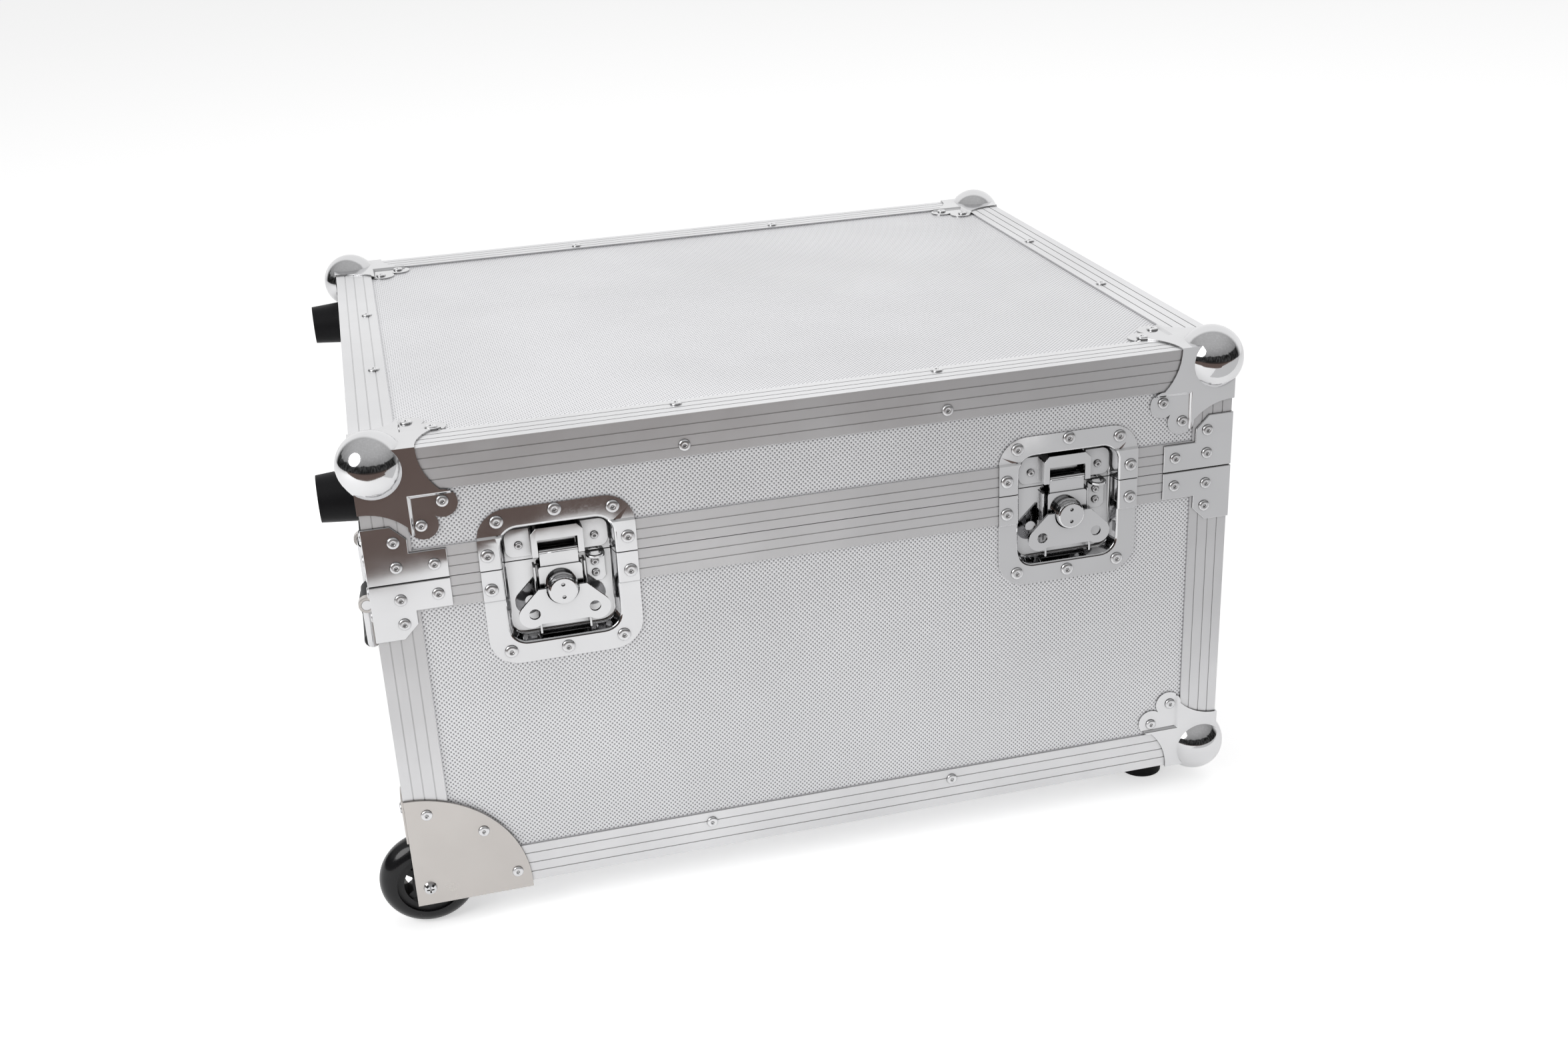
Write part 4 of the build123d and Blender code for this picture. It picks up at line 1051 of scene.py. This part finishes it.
@dataclass
class PressedDish:
    """The dish of both latches, drawn from sheet over the seam and cut there into its two halves."""

    finishes: Finishes
    latch: Latch = field(default_factory=Latch)
    half_w: float = 53.3
    top: float = 56.0
    bottom: float = 58.8
    corner_r: float = 21.0
    pocket_r: float = 12.0
    sheet: float = 1.2
    lip_r: float = 2.2
    foot_r: float = 1.8
    draft: float = 9.0
    band_top: float = 36.95
    band_bottom: float = -9.45
    joggle: float = 0.7
    set_back: float = 1.6
    seam_gap: float = 0.25
    corner_steps: int = 8
    lip_turns: tuple[int, ...] = (20, 40, 60, 80)
    foot_turns: tuple[int, ...] = (5, 30, 55, 80)
    flange_reach: float = 6.0
    play: float = 0.1
    segments: int = 2
    sharp: float = 50.0
    shade: float = 40.0
    edge: float = 0.3

    def ring(self, grow: float, depth: float, outer: bool = False) -> list[Vector]:
        """The points of one rounded outline of the first latch.

        Args:
            grow: how far it stands outside the pocket's outline, in millimetres.
            depth: how deep it lies in the case's front.
            outer: whether it is the flange's outline instead.

        Returns:
            The points, in order round the outline.
        """
        latch = self.latch
        sizes = (latch.pocket_half_w, latch.pocket_top, latch.pocket_bottom, self.pocket_r)
        half, top, bottom, r = (size + grow for size in sizes)
        if outer:
            half, top, bottom, r = self.half_w, self.top, self.bottom, self.corner_r
        points = []
        middles = ((1, top - r), (-1, top - r), (-1, r - bottom), (1, r - bottom))
        for number, (side, height) in enumerate(middles):
            for step in range(self.corner_steps + 1):
                turn = math.radians(90 * (number + step / self.corner_steps))
                x = side * (half - r) + r * math.cos(turn)
                z = height + r * math.sin(turn)
                points.append(at(latch.middles[0] + x, depth, latch.middle_z + z))
        return points

    def sections(self) -> list[list[Vector]]:
        """Works out the outlines from the flange's edge over the lip and down to the floor.

        Returns:
            The outlines.
        """
        front = -self.sheet
        rings = [self.ring(0, front, outer=True), self.ring(self.lip_r, front)]
        for turn in self.lip_turns:
            angle = math.radians(turn)
            depth = front + self.lip_r * (1 - math.cos(angle))
            rings.append(self.ring(self.lip_r * (1 - math.sin(angle)), depth))
        wall_end = self.latch.pocket_depth - self.foot_r
        inward = math.tan(math.radians(self.draft)) * (wall_end - front)
        for turn in self.foot_turns:
            angle = math.radians(turn)
            depth = wall_end + self.foot_r * math.sin(angle)
            rings.append(self.ring(-inward - self.foot_r * (1 - math.cos(angle)), depth))
        return rings

    def press(self) -> Piece:
        """Draws the first latch's dish as one closed sheet.

        Returns:
            The dish, before it is cut at the seam.
        """
        rings = self.sections()
        mesh = bpy.data.meshes.new("dish")
        count = len(rings[0])
        mesh.from_pydata(rings[0], [(i, (i + 1) % count) for i in range(count)], [])
        dish = placed("dish", mesh)
        edit(dish)
        for ring in rings[1:]:
            bpy.ops.mesh.extrude_region_move()
            work = bmesh.from_edit_mesh(mesh)
            work.verts.ensure_lookup_table()
            for vertex, point in zip([v for v in work.verts if v.select], ring):
                vertex.co = point
            bmesh.update_edit_mesh(mesh)
        bpy.ops.mesh.edge_face_add()
        for height in (self.band_top, self.band_bottom):
            for side in (-1, 1):
                bpy.ops.mesh.select_all(action="SELECT")
                plane = at(0, 0, self.latch.middle_z + height + side * self.joggle)
                bpy.ops.mesh.bisect(plane_co=plane, plane_no=(0, 0, 1))
        self.set_flange_back(mesh)
        bpy.ops.mesh.select_all(action="SELECT")
        bpy.ops.mesh.normals_make_consistent(inside=False)
        bpy.ops.object.mode_set(mode="OBJECT")
        front = min(mesh.polygons, key=lambda face: face.center.y)
        if front.normal.y > 0:
            mesh.flip_normals()
        apply_modifier(dish, "SOLIDIFY", thickness=self.sheet * MM, offset=-1, use_even_offset=True)
        return dish

    def set_flange_back(self, mesh: bpy.types.Mesh) -> None:
        """Lets the flange lie on the panels outside the closing extrusions' band.

        Args:
            mesh: the dish, in edit mode.
        """
        work = bmesh.from_edit_mesh(mesh)
        for vertex in work.verts:
            _, y, z = in_case(vertex.co)
            if self.band_bottom - self.play < z - self.latch.middle_z < self.band_top + self.play:
                continue
            depth = y + self.sheet
            vertex.co.y += self.set_back * MM * max(0.0, 1 - depth / self.flange_reach)
        bmesh.update_edit_mesh(mesh)

    def half(self, whole: Piece, body: str) -> None:
        """Cuts one body's half for both latches, rounds its edges and lets it stand for the node.

        Args:
            whole: the pressed dish of the first latch.
            body: base or lid.
        """
        upward = 1 if body == "base" else -1
        parts = []
        for middle in self.latch.middles:
            part = copy_of(whole)
            edit(part)
            plane = at(0, 0, self.latch.seam_z - upward * self.seam_gap)
            bpy.ops.mesh.bisect(plane_co=plane, plane_no=(0, 0, upward), use_fill=True, clear_outer=True)
            bpy.ops.mesh.select_all(action="SELECT")
            bpy.ops.transform.translate(value=((middle - self.latch.middles[0]) * MM, 0, 0))
            bpy.ops.mesh.normals_make_consistent(inside=False)
            bpy.ops.object.mode_set(mode="OBJECT")
            parts.append(part)
        only(parts[0])
        parts[1].select_set(True)
        bpy.ops.object.join()
        piece = bpy.context.object
        round_edges(piece, self.edge, self.segments, self.sharp, self.shade)
        finish_piece(piece, f"latch_{body}_dish_sheets", body, self.finishes.by_slot["chromed"])
        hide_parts(f"latch_{body}_dishes")

    def build(self) -> None:
        """Presses the dish and cuts both halves."""
        whole = self.press()
        for body in ("base", "lid"):
            self.half(whole, body)
        bpy.data.objects.remove(whole)


@dataclass
class Knob(Softened):
    """A latch's turning knob, with a groove turned behind its head."""

    latch: Latch = field(default_factory=Latch)
    middle: float = 126.0
    play: float = 0.05
    rim: float = 1.0

    def shape(self, piece: Piece) -> None:
        """Cuts rings round the head and draws the middle ones in.

        Args:
            piece: the knob, in edit mode.
        """
        for depth in self.latch.knob_groove:
            bpy.ops.mesh.select_all(action="SELECT")
            bpy.ops.mesh.bisect(plane_co=at(self.middle, depth, 0), plane_no=(0, 1, 0))
        _, low, high, _ = self.latch.knob_groove
        mesh = bmesh.from_edit_mesh(piece.data)
        for vertex in mesh.verts:
            x, y, z = in_case(vertex.co)
            on_head = math.hypot(x - self.middle, z - self.latch.knob_z) > self.latch.knob_r - self.rim
            vertex.select = low - self.play <= y <= high + self.play and on_head
        mesh.select_flush(True)
        bmesh.update_edit_mesh(piece.data)
        scale = self.latch.groove_scale
        axis = at(self.middle, 0, self.latch.knob_z)
        bpy.ops.transform.resize(value=(scale, 1, scale), center_override=axis)


@dataclass
class Padding:
    """Foam pads under lining cloth, which swell softly between their edges."""

    finishes: Finishes
    node: str
    body: str
    voxel: float = 6.0
    shrink: float = 1.3
    swell: float = 1.1
    pressure: float = 4.0
    frames: int = 20
    quality: int = 4
    evening: float = 0.5
    rounds: int = 2

    def build(self) -> None:
        """Models the pads of one lining node and lets them stand for it."""
        pads = copy_of(frame["nodes"][self.node])
        edit(pads)
        bpy.ops.mesh.remove_doubles(threshold=MERGE)
        bpy.ops.transform.shrink_fatten(value=-self.shrink * MM, use_even_offset=True)
        bpy.ops.object.mode_set(mode="OBJECT")
        pads.data.remesh_voxel_size = self.voxel * MM
        bpy.ops.object.voxel_remesh()
        self.inflate(pads)
        apply_modifier(pads, "SMOOTH", factor=self.evening, iterations=self.rounds)
        bpy.ops.object.shade_smooth()
        finish_piece(pads, f"{self.node}_pads", self.body, self.finishes.cloth)
        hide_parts(self.node)

    def inflate(self, pads: Piece) -> None:
        """Swells the pads with a cloth simulation, each point by no more than the foam gives.

        Args:
            pads: the pads.
        """
        before = [vertex.co.copy() for vertex in pads.data.vertices]
        cloth = pads.modifiers.new("swell", "CLOTH")
        cloth.settings.use_pressure = True
        cloth.settings.uniform_pressure_force = self.pressure
        cloth.settings.effector_weights.gravity = 0
        cloth.settings.quality = self.quality
        cloth.point_cache.frame_start = 1
        cloth.point_cache.frame_end = self.frames
        for number in range(1, self.frames + 1):
            bpy.context.scene.frame_set(number)
        only(pads)
        bpy.ops.object.modifier_apply(modifier=cloth.name)
        bpy.context.scene.frame_set(1)
        limit = self.swell * MM
        for vertex, start in zip(pads.data.vertices, before):
            move = vertex.co - start
            if move.length > limit:
                vertex.co = start + move * (limit / move.length)


# Stage


@dataclass(frozen=True)
class Lamp:
    """A soft lamp that faces the case, in metres and watts."""

    name: str
    place: Triple
    size: tuple[float, float]
    power: float
    aim: Triple = (0.05, 0.0, 0.15)

    def build(self) -> None:
        """Places the lamp."""
        data = bpy.data.lights.new(self.name, "AREA")
        data.shape = "ELLIPSE"
        data.size, data.size_y = self.size
        data.energy = self.power
        lamp = placed(self.name, data)
        lamp.location = self.place
        aim = Vector(self.aim) - Vector(self.place)
        lamp.rotation_euler = aim.to_track_quat("-Z", "Y").to_euler()


@dataclass(frozen=True)
class Card:
    """A glowing card just above the floor, in metres, that only reflections see."""

    name: str
    colour: Triple
    corners: Points
    height: float = 0.002

    def build(self) -> None:
        """Lays the card."""
        mesh = bpy.data.meshes.new(self.name)
        points = [(x, y, self.height) for x, y in self.corners]
        mesh.from_pydata(points, [], [tuple(range(len(points)))])
        card = placed(self.name, mesh)
        material = bpy.data.materials.new(self.name)
        wiring = clean_tree(material)
        glow = wiring.node("ShaderNodeEmission")
        glow.inputs["Color"].default_value = (*self.colour, 1)
        wiring.show(glow.outputs[0])
        dress(card, material)
        mirrored_only(card)


def mirrored_only(piece: Piece) -> None:
    """Lets only reflections see a piece of the stage.

    Args:
        piece: the piece.
    """
    for ray in ("camera", "diffuse", "shadow", "transmission", "volume_scatter"):
        setattr(piece, f"visible_{ray}", False)


@dataclass
class Studio:
    """White floor, soft light and the camera of the photograph."""

    focal_px: float = 2611.58
    sensor: float = 36.0
    seen_from: float = 0.05
    seen_to: float = 60.0
    place: Triple = (28.07, -1081.56, 721.55)
    right: Triple = (0.96753878, -0.24827423, -0.04720814)
    down: Triple = (-0.13904875, -0.3669904, -0.91977361)
    forward: Triple = (0.21103115, 0.89648087, -0.38959967)
    lamps: tuple[Lamp, ...] = (
        Lamp("top_light", (0.9, 0.5, 5.0), (4.4, 3.6), 61),
        Lamp("key_light", (-1.9, -1.14, 1.55), (1.5, 1.5), 28),
    )
    cards: tuple[Card, ...] = (
        Card("room_floor", (0.145, 0.108, 0.096), (
            (-4.6, -0.80), (-0.45, -0.84), (-0.10, -0.97), (0.45, -1.03), (0.62, -1.35), (1.6, -1.9),
            (4.6, -2.0), (4.6, -2.4), (-4.6, -2.4),
        )),
        Card("floor_shade", (0.66, 0.66, 0.665), (
            (0.20, -0.45), (4.6, -0.45), (4.6, -1.95), (1.62, -1.88), (0.64, -1.34), (0.47, -1.0),
            (0.20, -0.98),
        )),
        Card("room_floor_far", (0.05, 0.04, 0.036), ((-4.6, -2.4), (4.6, -2.4), (4.6, -4.6), (-4.6, -4.6))),
    )
    room_r: float = 4.5
    floor_side: float = 40.0
    floor_colour: float = 0.82
    floor_glow: float = 0.50
    floor_mirrored: float = 0.32
    sky_light: float = 0.45
    sky_extra: float = 0.55

    def camera(self) -> None:
        """Places the camera that was fitted to the case's edges."""
        data = bpy.data.cameras.new("camera")
        data.sensor_fit = "HORIZONTAL"
        data.sensor_width = self.sensor
        data.lens = self.focal_px / PHOTO_W * self.sensor
        data.clip_start = self.seen_from
        data.clip_end = self.seen_to
        camera = placed("camera", data)
        turn = Matrix((self.right, [-v for v in self.down], [-v for v in self.forward])).transposed().to_4x4()
        camera.matrix_world = Matrix.Translation(at(*self.place)) @ turn
        bpy.context.scene.camera = camera

    def room(self) -> None:
        """Puts the dim room round the white floor, which the chrome mirrors as dark bands."""
        for card in self.cards:
            card.build()
        bpy.ops.object.select_all(action="DESELECT")
        bpy.ops.mesh.primitive_uv_sphere_add(
            segments=48, ring_count=24, radius=self.room_r, location=(0, 0, 0)
        )
        room = bpy.context.object
        room.name = "room"
        edit(room)
        bpy.ops.mesh.bisect(plane_co=(0, 0, 0.001), plane_no=(0, 0, 1), clear_inner=True)
        bpy.ops.mesh.flip_normals()
        bpy.ops.object.mode_set(mode="OBJECT")
        material = bpy.data.materials.new("room")
        wiring = clean_tree(material)
        way = wiring.node("ShaderNodeVectorMath", operation="NORMALIZE")
        wiring.feed(wiring.node("ShaderNodeTexCoord").outputs["Object"], way.inputs[0])
        split = wiring.node("ShaderNodeSeparateXYZ")
        wiring.feed(way.outputs[0], split.inputs[0])
        clutter = wiring.noise(wiring.stretched(way.outputs[0], (7, 7, 1.5)), 1.0, 2.0)
        skyline = wiring.plus(wiring.times(clutter, 0.30), 0.18)
        above = wiring.remap(wiring.calc("SUBTRACT", split.outputs[2], skyline), -0.01, 0.03, 0.0, 1.0)
        ceiling = wiring.remap(split.outputs[2], 0.1, 0.95, 0.20, 0.50)
        shapes = wiring.noise(wiring.stretched(way.outputs[0], (14, 14, 6)), 1.0, 2.0)
        dark = wiring.remap(shapes, 0.4, 0.7, 0.012, 0.07)
        level = wiring.plus(dark, wiring.times(above, ceiling))
        sideways = wiring.times(split.outputs[0], 0.38)
        behind = wiring.plus(wiring.times(split.outputs[1], 0.92), sideways)
        backdrop = wiring.remap(behind, 0.15, 0.5, 0.0, 1.0)
        level = wiring.calc("MAXIMUM", level, backdrop)
        glow = wiring.node("ShaderNodeEmission")
        wiring.feed(level, glow.inputs["Strength"])
        wiring.show(glow.outputs[0])
        room.data.materials.append(material)
        mirrored_only(room)

    def floor(self) -> None:
        """Lays a white floor that shows the soft shadow."""
        bpy.ops.object.select_all(action="DESELECT")
        bpy.ops.mesh.primitive_plane_add(size=self.floor_side, location=(0, 0, 0))
        floor = bpy.context.object
        floor.name = "floor"
        material = bpy.data.materials.new("floor")
        wiring = clean_tree(material)
        matte = wiring.node("ShaderNodeBsdfDiffuse")
        matte.inputs["Color"].default_value = (*[self.floor_colour] * 3, 1)
        glow = wiring.node("ShaderNodeEmission")
        rays = wiring.node("ShaderNodeLightPath")
        seen = wiring.calc("MAXIMUM", rays.outputs["Is Camera Ray"], rays.outputs["Is Transmission Ray"])
        seen = wiring.times(seen, self.floor_glow)
        mirrored = wiring.times(rays.outputs["Is Glossy Ray"], self.floor_mirrored)
        wiring.feed(wiring.calc("MAXIMUM", seen, mirrored), glow.inputs["Strength"])
        total = wiring.node("ShaderNodeAddShader")
        wiring.feed(matte.outputs[0], total.inputs[0])
        wiring.feed(glow.outputs[0], total.inputs[1])
        wiring.show(total.outputs[0])
        floor.data.materials.append(material)

    def sky(self) -> None:
        """Lights everything evenly and shows white behind the case."""
        world = bpy.data.worlds.new("studio")
        bpy.context.scene.world = world
        wiring = clean_tree(world)
        back = wiring.node("ShaderNodeBackground")
        back.inputs["Color"].default_value = (1, 1, 1, 1)
        rays = wiring.node("ShaderNodeLightPath")
        seen = wiring.calc("MAXIMUM", rays.outputs["Is Camera Ray"], rays.outputs["Is Glossy Ray"])
        seen = wiring.calc("MAXIMUM", seen, rays.outputs["Is Transmission Ray"])
        strength = wiring.plus(wiring.times(seen, self.sky_extra), self.sky_light)
        wiring.feed(strength, back.inputs["Strength"])
        wiring.feed(back.outputs[0], wiring.node("ShaderNodeOutputWorld").inputs[0])

    def build(self) -> None:
        """Builds the whole studio."""
        self.camera()
        self.floor()
        self.sky()
        for lamp in self.lamps:
            lamp.build()
        self.room()
        bpy.context.scene.view_settings.view_transform = "Standard"
        log.info("studio done")


def main() -> None:
    """Builds the finishes, the pieces and the studio in order."""
    logging.basicConfig(level=logging.INFO, format="%(name)s: %(message)s")
    finishes = Finishes()
    finishes.dress_nodes()
    for body in ("base", "lid"):
        Fasteners(finishes).build(f"{body}_fasteners", body)
    for node, body in (
        ("base_corner_braces", "base"), ("lid_corner_braces", "lid"), ("latch_keepers", "lid"),
        ("latch_channels", "base"), ("latch_padlock_eyes", "base"),
    ):
        Softened(finishes, node, body, "chromed").build()
    for body in ("base", "lid"):
        BallCorners(finishes, f"{body}_ball_corners", body, "chromed", edge=0.4).build()
    PressedDish(finishes).build()
    for side, middle in zip(("left", "right"), Latch().middles):
        Softened(finishes, f"latch_{side}_hook", f"{side}_hook", "chromed").build()
        Softened(finishes, f"latch_{side}_wing", f"{side}_wing", "chromed", edge=0.6).build()
        Knob(
            finishes, f"latch_{side}_knob", f"{side}_knob", "chromed", edge=0.35, segments=2, middle=middle
        ).build()
    for node, body, slot, edge, segments in (
        ("wheel_corner_plates", "base", "satin_steel", 0.3, 2),
        ("side_handle_plate", "base", "satin_steel", 0.4, 2),
        ("trolley_bezel", "base", "black_plastic", 0.6, 2),
        ("trolley_grip", "pull_handle", "black_plastic", 0.8, 3),
        ("trolley_button", "release_button", "black_plastic", 0.6, 2),
    ):
        Softened(finishes, node, body, slot, edge, segments).build()
    for body in ("base", "lid"):
        Padding(finishes, f"{body}_lining", body).build()
    Studio().build()


if __name__ == "__main__":
    main()
